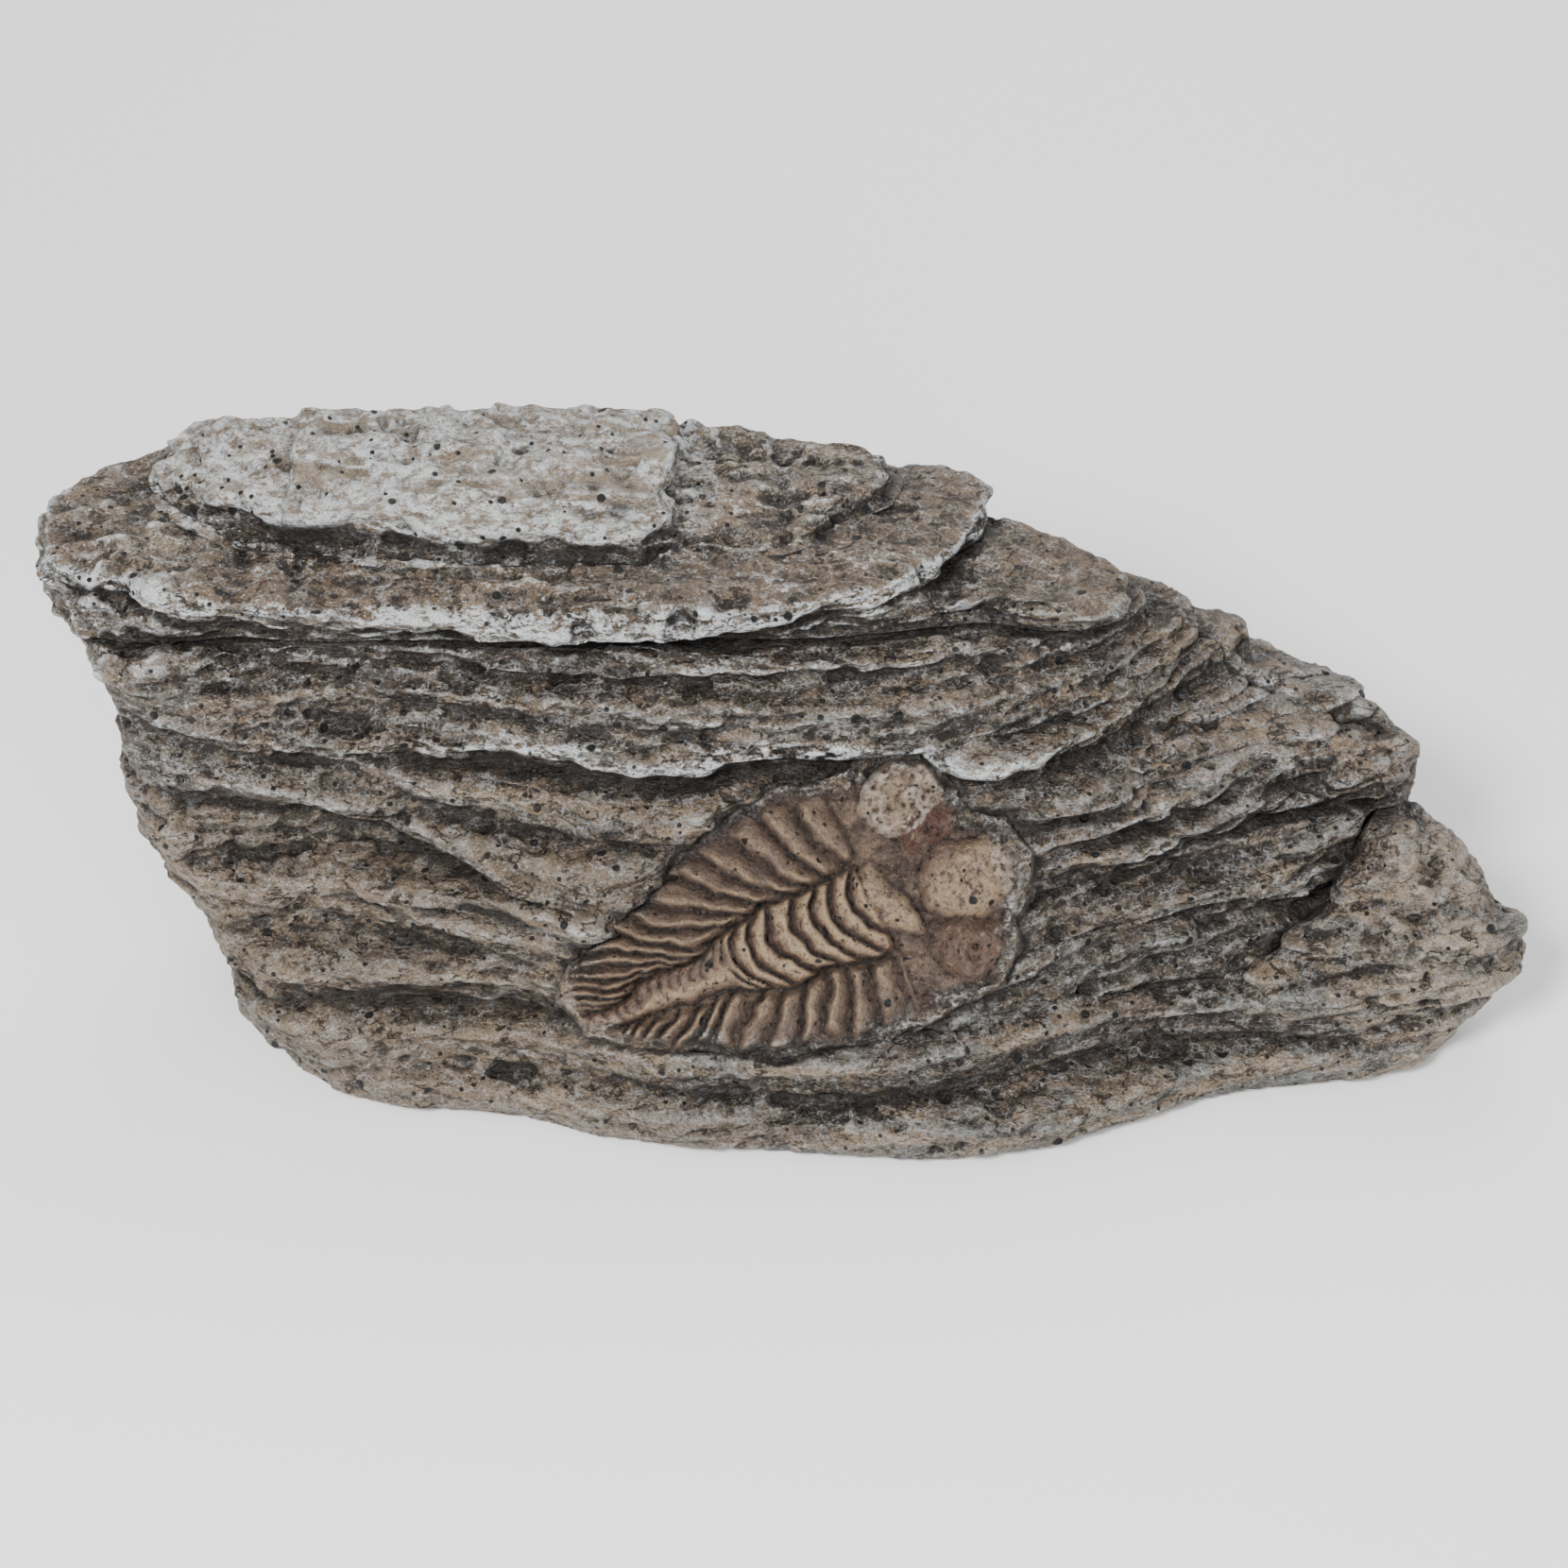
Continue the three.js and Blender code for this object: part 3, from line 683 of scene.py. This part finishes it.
def side_lobes(flat, s, t, half):
    """The lobes at both sides. Each rib leaves the axis backwards and then bends outwards."""
    side = {name: np.where(t > 0, upper, LOWER_RIBS[name]) for name, upper in UPPER_RIBS.items()}
    out = np.maximum(np.abs(t) - half, 0)
    lag = side["lag"] * (1 - np.exp(-out / 3.5))
    root = (s + lag + side["sweep"] * out) / (1 + side["fan"] * out)
    ribs = ridge_profile(ring_phase(root + 0.9, TAIL_RIB_PITCH), -0.22, 1.3)
    ribs *= 0.8 + 0.25 * smooth_noise(flat / 3, 212)
    reach = side["reach"] + 2.0 * smooth_noise(flat / 4, 213)
    ribs *= fade(out, reach + 2.5, reach - 2.0)
    fill = 0.2 + 1.6 * np.exp(-((out - 6) / 6) ** 2)
    height = fill + 3.1 * ribs * fade(out, 0, 2) * fade(root, 60, 56)
    return SimpleNamespace(height=height, ribs=ribs)


def head_lumps(flat, s, t):
    """The neck ring, the lumps of the head and the rough ground between them."""
    lumpy = rough_noise(flat / 2.6, 205, 4)
    bubbly = lumpy + 0.6 - 1.2 * scallops(flat + 0.7 * lumpy[:, None], 2.9, 214)
    x, y = wavered(flat, HEAD_WAVES, 208)
    lump = {name: dome(x, y, shape) for name, shape in LUMPS.items()}
    lump["neck"] = dome(s + 0.18 * t - 0.04 * t ** 2, t, NECK)
    high = {}
    for name, shape in {**LUMPS, "neck": NECK}.items():
        texture = bubbly if shape.bubbly else lumpy
        high[name] = (shape.high + shape.rough * texture) * lump[name]
    ground = 0.2 + 0.8 * lumpy + 1.1 * ridged(flat / 4.0, 207, 3)
    height = np.maximum.reduce([ground, *high.values()])
    bare = 1 - fade(np.maximum.reduce(list(lump.values())), 0.05, 0.45)
    return SimpleNamespace(height=height, lump=lump, high=high, lumpy=lumpy, bare=bare)


def fossil_relief(flat):
    """The height of the relief at each point, and the shares of its coats of paint."""
    dx, dy = (line - start for line, start in zip(wavered(flat, BODY_WAVES, 201), TAIL))
    s = dx * math.cos(AXIS_TURN) + dy * math.sin(AXIS_TURN)
    t = dy * math.cos(AXIS_TURN) - dx * math.sin(AXIS_TURN)
    half = np.interp(s, (1, THORAX_START - 3, THORAX_START + 2, THORAX_END), (1.4, 4.2, 5.6, 7.6))
    axis = middle_lobe(s, t, half)
    side = side_lobes(flat, s, t, half)
    head = head_lumps(flat, s, t)

    on_head = fade(s, THORAX_END + 0.6, THORAX_END + 1.6)
    nodule = head.lump["nodule"]
    body = axis.there * axis.height + (1 - axis.there) * side.height
    body -= 1.1 * np.exp(-(((np.abs(t) - half - 0.5) / 0.8) ** 2)) * fade(s, 52, 49)
    body = np.maximum(body, head.high["nodule"] * fade(nodule, 0, 0.3))
    height = (1 - on_head) * body + on_head * head.height

    lower_right = flat[:, 0] - flat[:, 1]
    glabella, brow, cheek = (head.lump[name] for name in ("glabella", "brow", "cheek"))
    cream = np.maximum.reduce([
        axis.there * axis.thorax * fade(axis.rings, 0.5, 0.9),
        0.85 * axis.band * axis.there * fade(s, 2, 8),
        0.75 * fade(head.lump["neck"], 0.3, 0.7),
        0.55 * fade(nodule, 0, 0.4),
        0.8 * fade(glabella, 0.25, 0.6) * fade(lower_right, 10, 18),
        0.35 * fade(side.ribs, 0.5, 0.9) * (1 - axis.there) * (1 - on_head)])
    red = np.maximum.reduce([
        fade(brow, 0.1, 0.5), 0.55 * fade(cheek, 0, 0.5), 0.6 * axis.there * fade(s, 22, 26),
        0.45 * fade(s, 24, 4), 0.5 * fade(glabella, 0.1, 0.4) * fade(lower_right, 19, 12)])
    between_rings = (1 - axis.rings) * axis.there * (1 - axis.band)
    between_ribs = (1 - side.ribs) ** 1.5 * (1 - axis.there)
    between_lumps = fade(head.bare, 0.1, 0.9) * on_head * (0.55 + 0.45 * head.lumpy)
    groove = np.maximum(np.maximum(between_rings, between_ribs) * (1 - on_head), between_lumps)
    white = 0.13 * fade(nodule, 0.0, 0.3) * (1 + head.lumpy)
    white += 0.16 * fade(head.lump["rim"], 0.2, 0.6)
    coats = {"cream": cream, "red": red, "white": np.clip(white, 0, 1), "groove": groove}
    return height - SINK, coats


def trilobite():
    """The relief as a fine height field, open behind, whose border turns down into the rock."""
    x, y = np.meshgrid(np.arange(*GRID_X, GRID), np.arange(*GRID_Y, GRID))
    index = np.arange(x.size).reshape(x.shape)
    flat = np.stack([x.ravel(), y.ravel(), np.zeros(x.size)], axis=1)
    x, y = flat[:, 0], flat[:, 1]
    edge = inside_outline(x, y) + 0.8 * smooth_noise(flat / 3.5, 221) + OVERLAP
    height, coats = fossil_relief(flat)
    border = -0.3 + 0.9 * ridged(flat / 4.5, 223, 3)
    inner = fade(edge, 1.2, 3.2)
    height = height * inner + border * (1 - inner)
    height += 0.34 * ridged(flat / 2.2, 225, 3)
    height -= 0.9 * scattered_pits(flat, 4.6, 0.75, 0.5, 231)
    head = fade(x * math.cos(AXIS_TURN) + y * math.sin(AXIS_TURN), 14, 20)
    height -= 1.1 * head * scattered_pits(flat, 3.4, 0.9, 0.55, 236)
    ragged = edge + 1.8 * smooth_noise(flat / 4, 241) + 1.0 * smooth_noise(flat / 1.6, 242)
    coats["margin"] = fade(ragged, 4.6, 1.8)

    up = np.array([0, math.sin(LEAN), math.cos(LEAN)])
    out = np.array([0, -math.cos(LEAN), math.sin(LEAN)])
    top = fossil_place() + x[:, None] * (1, 0, 0) + y[:, None] * up + height[:, None] * out
    skirt = SKIRT * fade(edge, 0.7, -1.1)[:, None]
    faces = np.stack([index[:-1, :-1], index[:-1, 1:], index[1:, 1:], index[1:, :-1]], axis=-1)
    kept = edge > -OVERLAP
    faces = faces[kept[faces].all(axis=-1)]

    mesh = bpy.data.meshes.new("trilobite_surface")
    used, renumbered = np.unique(faces, return_inverse=True)
    mesh.from_pydata((top[used] * MM).tolist(), [], renumbered.reshape(-1, 4).tolist())
    mesh.update()
    store_relief(mesh, Neighbours(mesh))
    set_points(mesh, (top - skirt * out)[used])
    for name, share in coats.items():
        store(mesh, name, share[used])
    piece = bpy.data.objects.new("trilobite_surface", mesh)
    bpy.context.scene.collection.objects.link(piece)
    return piece


# ---------------- materials

class Paint:
    """Builds one node material. Most methods return a socket that another can take."""

    def __init__(self, name):
        self.material = bpy.data.materials.new(name)
        self.material.use_nodes = True
        self.tree = self.material.node_tree
        self.shader = self.tree.nodes["Principled BSDF"]
        self.place = self.add("ShaderNodeTexCoord").outputs["Object"]

    def add(self, kind, inputs=(), **settings):
        node = self.tree.nodes.new(kind)
        for name, value in settings.items():
            setattr(node, name, value)
        for name, value in dict(inputs).items():
            self.feed(node.inputs[name], value)
        return node

    def feed(self, socket, value):
        if isinstance(value, bpy.types.NodeSocket):
            self.tree.links.new(value, socket)
        else:
            socket.default_value = value

    def attribute(self, name):
        return self.add("ShaderNodeAttribute", attribute_name=name).outputs["Fac"]

    def chain(self, operation, values, clamp=False):
        """Runs one operation over the values from left to right. clamp keeps the end in 0 to 1."""
        result = values[0]
        for value in values[1:]:
            node = self.add("ShaderNodeMath", {0: result, 1: value}, operation=operation)
            result = node.outputs[0]
        node.use_clamp = clamp
        return result

    def times(self, *values, clamp=False):
        return self.chain("MULTIPLY", values, clamp)

    def plus(self, *values):
        return self.chain("ADD", values)

    def minus(self, *values):
        return self.chain("SUBTRACT", values)

    def most(self, *values):
        return self.chain("MAXIMUM", values)

    def scaled(self, scale):
        """Positions in millimetres over scale, where scale may differ along x, y and z."""
        node = self.add("ShaderNodeVectorMath", {0: self.place}, operation="MULTIPLY")
        node.inputs[1].default_value = [1 / (MM * size) for size in scale]
        return node.outputs[0]

    def noise(self, scale, detail=3.0, roughness=0.55, distortion=0.0):
        node = self.add("ShaderNodeTexNoise", {
            "Vector": self.scaled(scale), "Scale": 1.0, "Detail": detail,
            "Roughness": roughness, "Distortion": distortion})
        return node.outputs["Fac"]

    def cells(self, place, feature="F1"):
        return self.add("ShaderNodeTexVoronoi", {"Vector": place, "Scale": 1.0}, feature=feature)

    def warped(self, scale, amount):
        """Scaled positions pushed about by noise, so that straight edges come out ragged."""
        place = self.scaled(scale)
        push = self.add("ShaderNodeTexNoise", {
            "Vector": place, "Scale": 1.3, "Detail": 4.0, "Roughness": 0.65})
        centred = self.add("ShaderNodeVectorMath", {0: push.outputs["Color"]}, operation="SUBTRACT")
        centred.inputs[1].default_value = (0.5, 0.5, 0.5)
        pushed = self.add("ShaderNodeVectorMath", {0: centred.outputs[0]}, operation="SCALE")
        pushed.inputs["Scale"].default_value = amount
        moved = self.add("ShaderNodeVectorMath", {0: place, 1: pushed.outputs[0]}, operation="ADD")
        return moved.outputs[0]

    def splinters(self, scale, ragged):
        """Ragged flat cells, each at its own height from 0 to 1."""
        colour = self.cells(self.warped(scale, ragged)).outputs["Color"]
        return self.add("ShaderNodeSeparateColor", {"Color": colour}).outputs[0]

    def net(self, scale, ragged):
        """How far a point is from the threads of a ragged net, in units of its cells."""
        return self.cells(self.warped(scale, ragged), "DISTANCE_TO_EDGE").outputs["Distance"]

    def fade(self, value, low, high):
        """0 at low and 1 at high, smooth between. low may be above high."""
        node = self.add("ShaderNodeMapRange", {
            "Value": value, "From Min": low, "From Max": high}, interpolation_type="SMOOTHSTEP")
        return node.outputs["Result"]

    def mix(self, share, first, second):
        node = self.add("ShaderNodeMix", data_type="RGBA")
        for socket, value in zip((node.inputs[0], node.inputs[6], node.inputs[7]),
                                 (share, first, second)):
            self.feed(socket, value)
        return node.outputs[2]

    def pores(self, spacing, radius, share):
        """1 inside small round bubbles in that share of the cells."""
        cells = self.cells(self.scaled((spacing,) * 3))
        split = self.add("ShaderNodeSeparateColor", {"Color": cells.outputs["Color"]})
        there = self.chain("LESS_THAN", (split.outputs[0], share))
        spot = self.fade(cells.outputs["Distance"], radius / spacing, 0.7 * radius / spacing)
        return self.times(spot, there)

    def bump(self, height, distance, normal=None):
        node = self.add("ShaderNodeBump", {"Height": height, "Distance": distance * MM})
        if normal is not None:
            self.feed(node.inputs["Normal"], normal)
        return node.outputs["Normal"]

    def finished(self, colour, roughness, normal=None):
        """The material with its shader fed."""
        self.feed(self.shader.inputs["Base Color"], colour)
        self.feed(self.shader.inputs["Roughness"], roughness)
        if normal is not None:
            self.feed(self.shader.inputs["Normal"], normal)
        return self.material


def linear(red, green, blue):
    """A display colour as a linear one with full alpha."""
    return tuple(c / 12.92 if c < 0.04045 else ((c + 0.055) / 1.055) ** 2.4
                 for c in (red, green, blue)) + (1,)


BEIGE = linear(0.545, 0.47, 0.38)
PALE_BEIGE = linear(0.62, 0.56, 0.485)
TAN = linear(0.43, 0.34, 0.25)
BROWN_GREY = linear(0.355, 0.31, 0.262)
COOL_GREY = linear(0.43, 0.432, 0.41)
# Brown for the thin wash, and for painted shade under the ledges.
BROWN_WASH_AND_SHADE = linear(0.21, 0.175, 0.142)
# Near-black for the wash in cracks and pits, and for painted shade in deep crevices.
DARK_WASH_AND_SHADE = linear(0.085, 0.07, 0.058)
# White for the chalky dry-brush paint and the threads, and for painted glints.
CHALK_AND_GLINT = linear(0.80, 0.81, 0.815)
PORE = linear(0.05, 0.045, 0.04)
CREAM = linear(0.57, 0.485, 0.385)
FOSSIL_BROWN = linear(0.335, 0.28, 0.245)
FOSSIL_TAN = linear(0.43, 0.355, 0.295)
RED_BROWN = linear(0.28, 0.175, 0.14)
FOSSIL_STAIN = linear(0.15, 0.095, 0.075)
RUBBER = (0.018, 0.018, 0.017, 1)
WORN_RUBBER = (0.034, 0.033, 0.031, 1)
FLOOR_WHITE = (0.93, 0.93, 0.93, 1)


def rock_fields(paint):
    """What the coats of rock paint go by: the place, the fine relief, and how hollow a point is."""
    field = SimpleNamespace()
    for name in ("near_hollow", "far_hollow", "shelter", "wide_shelter", "lip"):
        setattr(field, name, paint.attribute(name))
    split = paint.add("ShaderNodeSeparateXYZ", {0: paint.scaled((1, 1, 1))})
    x, z = split.outputs[0], split.outputs[2]
    field.x, field.z = x, z
    normal = paint.add("ShaderNodeNewGeometry").outputs["True Normal"]
    field.facing = paint.add("ShaderNodeSeparateXYZ", {0: normal}).outputs[2]

    # The fine relief is seen in the bump and in the paint alike.
    field.grain = paint.noise((1.5, 1.5, 1.0), 5, 0.72)
    field.specks = paint.noise((0.55, 0.55, 0.45), 3, 0.7)
    field.blotches = paint.noise((3.2, 3.2, 2.0), 4, 0.65)
    laminae = paint.noise((7.0, 7.0, 0.75), 5, 0.66, 0.35)
    splinters = paint.splinters((4.2, 4.2, 1.1), 0.9)
    field.relief = paint.plus(
        paint.times(field.grain, 0.50), paint.times(laminae, 0.40), paint.times(splinters, 0.14))

    field.crown = paint.times(paint.fade(z, CROWN_FOOT + 1, CROWN_FOOT + 5), paint.fade(x, -8, -20))
    field.calm = paint.minus(1.0, paint.times(field.crown, 0.55))
    field.foot = paint.times(paint.fade(z, 56, 36), paint.fade(x, 5, -35), 0.65)
    field.tip = paint.times(paint.fade(z, 40, 34), paint.fade(x, 88, 112),
                            paint.fade(paint.noise((9, 9, 6), 4, 0.6), 0.58, 0.44))
    field.low = paint.times(paint.minus(0.52, field.relief), field.calm)
    field.hollow = paint.plus(
        paint.times(field.near_hollow, field.calm), paint.times(field.low, 2.6),
        paint.times(paint.minus(0.5, field.specks), field.calm, 1.5))
    return field


def body_colour(paint, field):
    """Beige, tan and grey patches drawn out along the layers, and paler on the crown and tip."""
    broad = paint.noise((24, 24, 9), 3)
    streaks = paint.noise((13, 13, 2.4), 4, 0.6)
    patches = paint.noise((10, 8, 6), 4, 0.6)
    colour = paint.mix(paint.fade(broad, 0.38, 0.62), BROWN_GREY, BEIGE)
    colour = paint.mix(paint.fade(streaks, 0.46, 0.62), colour, COOL_GREY)
    colour = paint.mix(paint.times(paint.fade(field.blotches, 0.50, 0.66), 0.6), colour, TAN)
    ledge_top = paint.times(paint.fade(field.facing, 0.55, 0.95), paint.fade(field.z, 20, 76))
    ledge_colour = paint.mix(paint.fade(field.x, 25, 60), BEIGE, TAN)
    colour = paint.mix(paint.times(ledge_top, 0.75), colour, ledge_colour)
    crown_colour = paint.mix(paint.fade(patches, 0.44, 0.60), PALE_BEIGE, BEIGE)
    colour = paint.mix(paint.times(field.crown, 0.8), colour, crown_colour)
    shelf = paint.times(paint.fade(field.z, CROWN_FOOT - 5, CROWN_FOOT - 2),
                        paint.fade(field.z, CROWN_FOOT + 2, CROWN_FOOT),
                        paint.fade(field.facing, 0.6, 0.9))
    colour = paint.mix(paint.times(shelf, 0.65), colour, TAN)
    colour = paint.mix(paint.times(field.foot, 0.85), colour, BEIGE)
    return paint.mix(paint.times(field.tip, 0.9), colour, PALE_BEIGE)


def brown_wash_and_shade(paint, field):
    """A thin brown wash all over, darker in broad hollows and under the ledges: partly wash that
    pools there, partly painted shade where much other surface stands in front.
    """
    # The wide count of surface in front darkens the overhung places as painted shade.
    close = paint.plus(paint.fade(field.hollow, -0.25, 0.20),
                       paint.fade(field.wide_shelter, 0.04, 0.26))
    broad = paint.fade(field.far_hollow, -0.1, 0.6)
    veil_and_shade = paint.plus(paint.times(close, 0.6), paint.times(broad, 0.5))
    bared = paint.most(paint.times(paint.most(field.foot, field.tip), 0.6),
                       paint.times(field.crown, 0.5))
    broken = paint.fade(field.blotches, 0.20, 0.50)
    return paint.times(veil_and_shade, broken, paint.minus(1.0, bared), clamp=True)


def chalk_coat(paint, field):
    """Chalky paint dragged over the proud edges, most of it at the upper left."""
    upper_left = paint.times(paint.fade(field.z, 45, 76), paint.fade(field.x, 75, 5))
    veins = paint.fade(paint.noise((17, 6, 3), 5, 0.62, 0.8), 0.38, 0.52)
    dragged = paint.plus(
        paint.times(paint.fade(field.hollow, -0.16, -0.42), 0.7),
        paint.times(paint.fade(field.far_hollow, -0.20, -0.75), 0.5),
        paint.times(field.lip, paint.fade(field.hollow, 0.15, -0.20), 0.8),
        paint.times(field.crown, paint.fade(field.hollow, 0.25, -0.05), veins))
    broken = paint.fade(paint.noise((2.2, 2.2, 0.9), 5, 0.75), 0.40, 0.58)
    return paint.times(dragged, broken, paint.plus(upper_left, 0.30, field.lip), clamp=True)


def pale_threads(paint, field):
    """Threads of pale paint in two ragged nets."""
    coarse = paint.fade(paint.net((3.0, 3.0, 1.5), 1.2), 0.05, 0.0)
    fine = paint.fade(paint.net((1.7, 1.7, 0.9), 1.2), 0.06, 0.0)
    return paint.times(paint.most(coarse, fine), paint.fade(field.blotches, 0.46, 0.60))


def thin_cracks(paint, field):
    """Cracks drawn out along the layers."""
    cracks = paint.fade(paint.net((9.0, 9.0, 3.2), 1.5), 0.05, 0.01)
    return paint.times(cracks, paint.fade(field.blotches, 0.56, 0.44), field.calm)


def dark_wash_and_shade(paint, field, cracks):
    """Dark wash that has run into the cracks and the hollows, and painted shade in the deep
    crevices under the ledges and wherever much other surface stands in front.
    """
    pooled = paint.times(paint.fade(field.hollow, 0.18, 0.40), 0.85)
    # Broad hollows, low spots of the fine relief and the close count of surface in front are
    # darkened as painted shade as well as wash.
    stained_and_shaded = paint.plus(field.far_hollow, paint.times(field.low, 3.0))
    deep = paint.most(paint.fade(stained_and_shaded, 0.55, 1.3), paint.fade(field.shelter, 0.35, 0.95))
    return paint.times(paint.most(paint.times(paint.most(pooled, deep), 0.85), cracks), 0.9)


def rock_colours(paint):
    """The colour, the roughness and the normal of painted rock."""
    field = rock_fields(paint)
    threads = pale_threads(paint, field)
    cracks = thin_cracks(paint, field)
    pores = paint.most(paint.pores(2.5, 0.5, 0.6), paint.pores(5.5, 0.95, 0.6))
    # Painted glints: pale specks on the crests of the fine bump stand in for the sparkle of the
    # lacquer.
    painted_glints = paint.times(paint.fade(field.specks, 0.56, 0.70), 0.28)
    dark_grains = paint.times(paint.fade(field.specks, 0.45, 0.30), field.calm, 0.32)
    colour = body_colour(paint, field)
    for share, coat in ((brown_wash_and_shade(paint, field), BROWN_WASH_AND_SHADE),
                        (chalk_coat(paint, field), CHALK_AND_GLINT),
                        (paint.times(threads, 0.55), CHALK_AND_GLINT),
                        (painted_glints, CHALK_AND_GLINT),
                        (dark_grains, DARK_WASH_AND_SHADE),
                        (dark_wash_and_shade(paint, field, cracks), DARK_WASH_AND_SHADE),
                        (pores, PORE)):
        colour = paint.mix(share, colour, coat)

    roughness = paint.plus(paint.times(field.grain, 0.4), 0.18)
    normal = paint.bump(field.relief, 3.0)
    normal = paint.bump(field.specks, 0.6, normal)
    raised = paint.minus(paint.times(threads, 0.4), paint.most(pores, cracks))
    return colour, roughness, paint.bump(raised, 0.5, normal)


def rock_paint():
    paint = Paint("painted_rock_resin")
    paint.feed(paint.shader.inputs["Specular IOR Level"], 0.45)
    return paint.finished(*rock_colours(paint))


def fossil_paint():
    """Brown and tan, with stain in the grooves and cream on the crests, painted glints on the fine
    bump, and rock round its edge.
    """
    paint = Paint("painted_fossil_resin")
    far = paint.attribute("far_hollow")
    blotches = paint.noise((3.0, 3.0, 3.0), 4, 0.6)
    grain = paint.noise((1.3, 1.3, 1.3), 5, 0.72)
    specks = paint.noise((0.6, 0.6, 0.6), 3, 0.7)
    hollow = paint.plus(paint.attribute("near_hollow"), paint.times(paint.minus(0.5, grain), 1.5))
    red = paint.times(paint.attribute("red"), paint.fade(blotches, 0.25, 0.58))
    cream = paint.times(paint.attribute("cream"), paint.fade(hollow, 0.15, -0.06))
    crest = paint.times(paint.fade(far, -0.25, -0.9), paint.fade(hollow, 0.05, -0.12), 0.45)
    chalk = paint.times(paint.attribute("white"), paint.fade(hollow, 0.15, -0.10))
    stain = paint.times(paint.fade(paint.attribute("groove"), 0.25, 0.9), 0.8)
    wash = paint.most(paint.fade(hollow, 0.10, 0.30), paint.fade(far, 0.35, 1.2))
    pores = paint.most(paint.pores(2.2, 0.42, 0.6), paint.pores(4.8, 0.85, 0.6))
    rock, _, _ = rock_colours(paint)

    colour = paint.mix(paint.fade(blotches, 0.35, 0.7), FOSSIL_BROWN, FOSSIL_TAN)
    for share, coat in ((red, RED_BROWN), (cream, CREAM), (crest, CREAM), (chalk, CHALK_AND_GLINT),
                        (stain, FOSSIL_STAIN), (paint.times(wash, 0.88), DARK_WASH_AND_SHADE),
                        # The pale cream specks on the fine bump are painted glints.
                        (paint.times(paint.fade(specks, 0.56, 0.70), 0.35), CREAM),
                        (paint.times(paint.fade(specks, 0.45, 0.30), 0.45), DARK_WASH_AND_SHADE),
                        (pores, PORE),
                        (paint.attribute("margin"), rock)):
        colour = paint.mix(share, colour, coat)
    roughness = paint.plus(paint.times(grain, 0.35), 0.12)
    normal = paint.bump(grain, 1.2)
    normal = paint.bump(specks, 0.5, normal)
    normal = paint.bump(paint.minus(0.0, pores), 0.4, normal)
    return paint.finished(colour, roughness, normal)


def rubber_paint():
    paint = Paint("pad_rubber")
    grain = paint.noise((0.4, 0.4, 0.4), 2, 0.6)
    colour = paint.mix(paint.fade(grain, 0.3, 0.7), RUBBER, WORN_RUBBER)
    return paint.finished(colour, 0.8, paint.bump(grain, 0.08))


def floor_paint():
    return Paint("pale_floor").finished(FLOOR_WHITE, 0.9)


# ---------------- scene

def set_camera():
    elevation = math.radians(CAMERA["elevation"])
    data = bpy.data.cameras.new("camera")
    data.lens = CAMERA["lens"]
    data.clip_start = CAMERA["nearest"] * MM
    camera = bpy.data.objects.new("camera", data)
    back = CAMERA["distance"] * math.cos(elevation)
    up = CAMERA["distance"] * math.sin(elevation)
    x, y, z = CAMERA["aim"]
    camera.location = (x * MM, (y - back) * MM, (z + up) * MM)
    camera.rotation_euler = (math.pi / 2 - elevation, 0, 0)
    bpy.context.scene.collection.objects.link(camera)
    bpy.context.scene.camera = camera


def soft_light(name, place, size, power):
    """A round lamp that faces the ornament."""
    data = bpy.data.lights.new(name, "AREA")
    data.shape = "DISK"
    data.size = size * MM
    data.energy = power
    light = bpy.data.objects.new(name, data)
    light.location = Vector(place) * MM
    away = Vector(place) - Vector(LIGHTS_AIM)
    light.rotation_euler = away.to_track_quat("Z", "Y").to_euler()
    bpy.context.scene.collection.objects.link(light)


def set_studio():
    world = bpy.data.worlds.new("studio")
    world.use_nodes = True
    background = world.node_tree.nodes["Background"]
    background.inputs["Color"].default_value = (1, 1, 1, 1)
    background.inputs["Strength"].default_value = SKY_STRENGTH
    bpy.context.scene.world = world
    for name, light in LIGHTS.items():
        soft_light(name, **light)

    reach = FLOOR_REACH * MM
    mesh = bpy.data.meshes.new("floor")
    corners = [(-reach, -reach, 0), (reach, -reach, 0), (reach, reach, 0), (-reach, reach, 0)]
    mesh.from_pydata(corners, [], [(0, 1, 2, 3)])
    mesh.materials.append(floor_paint())
    floor = bpy.data.objects.new("floor", mesh)
    bpy.context.scene.collection.objects.link(floor)


set_camera()
set_studio()

rock = rock_paint()
fossil = trilobite()
castings = {node: rock_casting(node) for node in VOXEL}
store_shelter([*castings.values(), fossil])
for node, casting in castings.items():
    casting.data.materials.append(rock)
    finished(casting, node)
fossil.data.materials.append(fossil_paint())
finished(fossil, "trilobite_inlay")

rubber = rubber_paint()
for name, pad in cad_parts.items():
    if name.startswith(PAD_NAMES):
        pad.data.materials.clear()
        pad.data.materials.append(rubber)
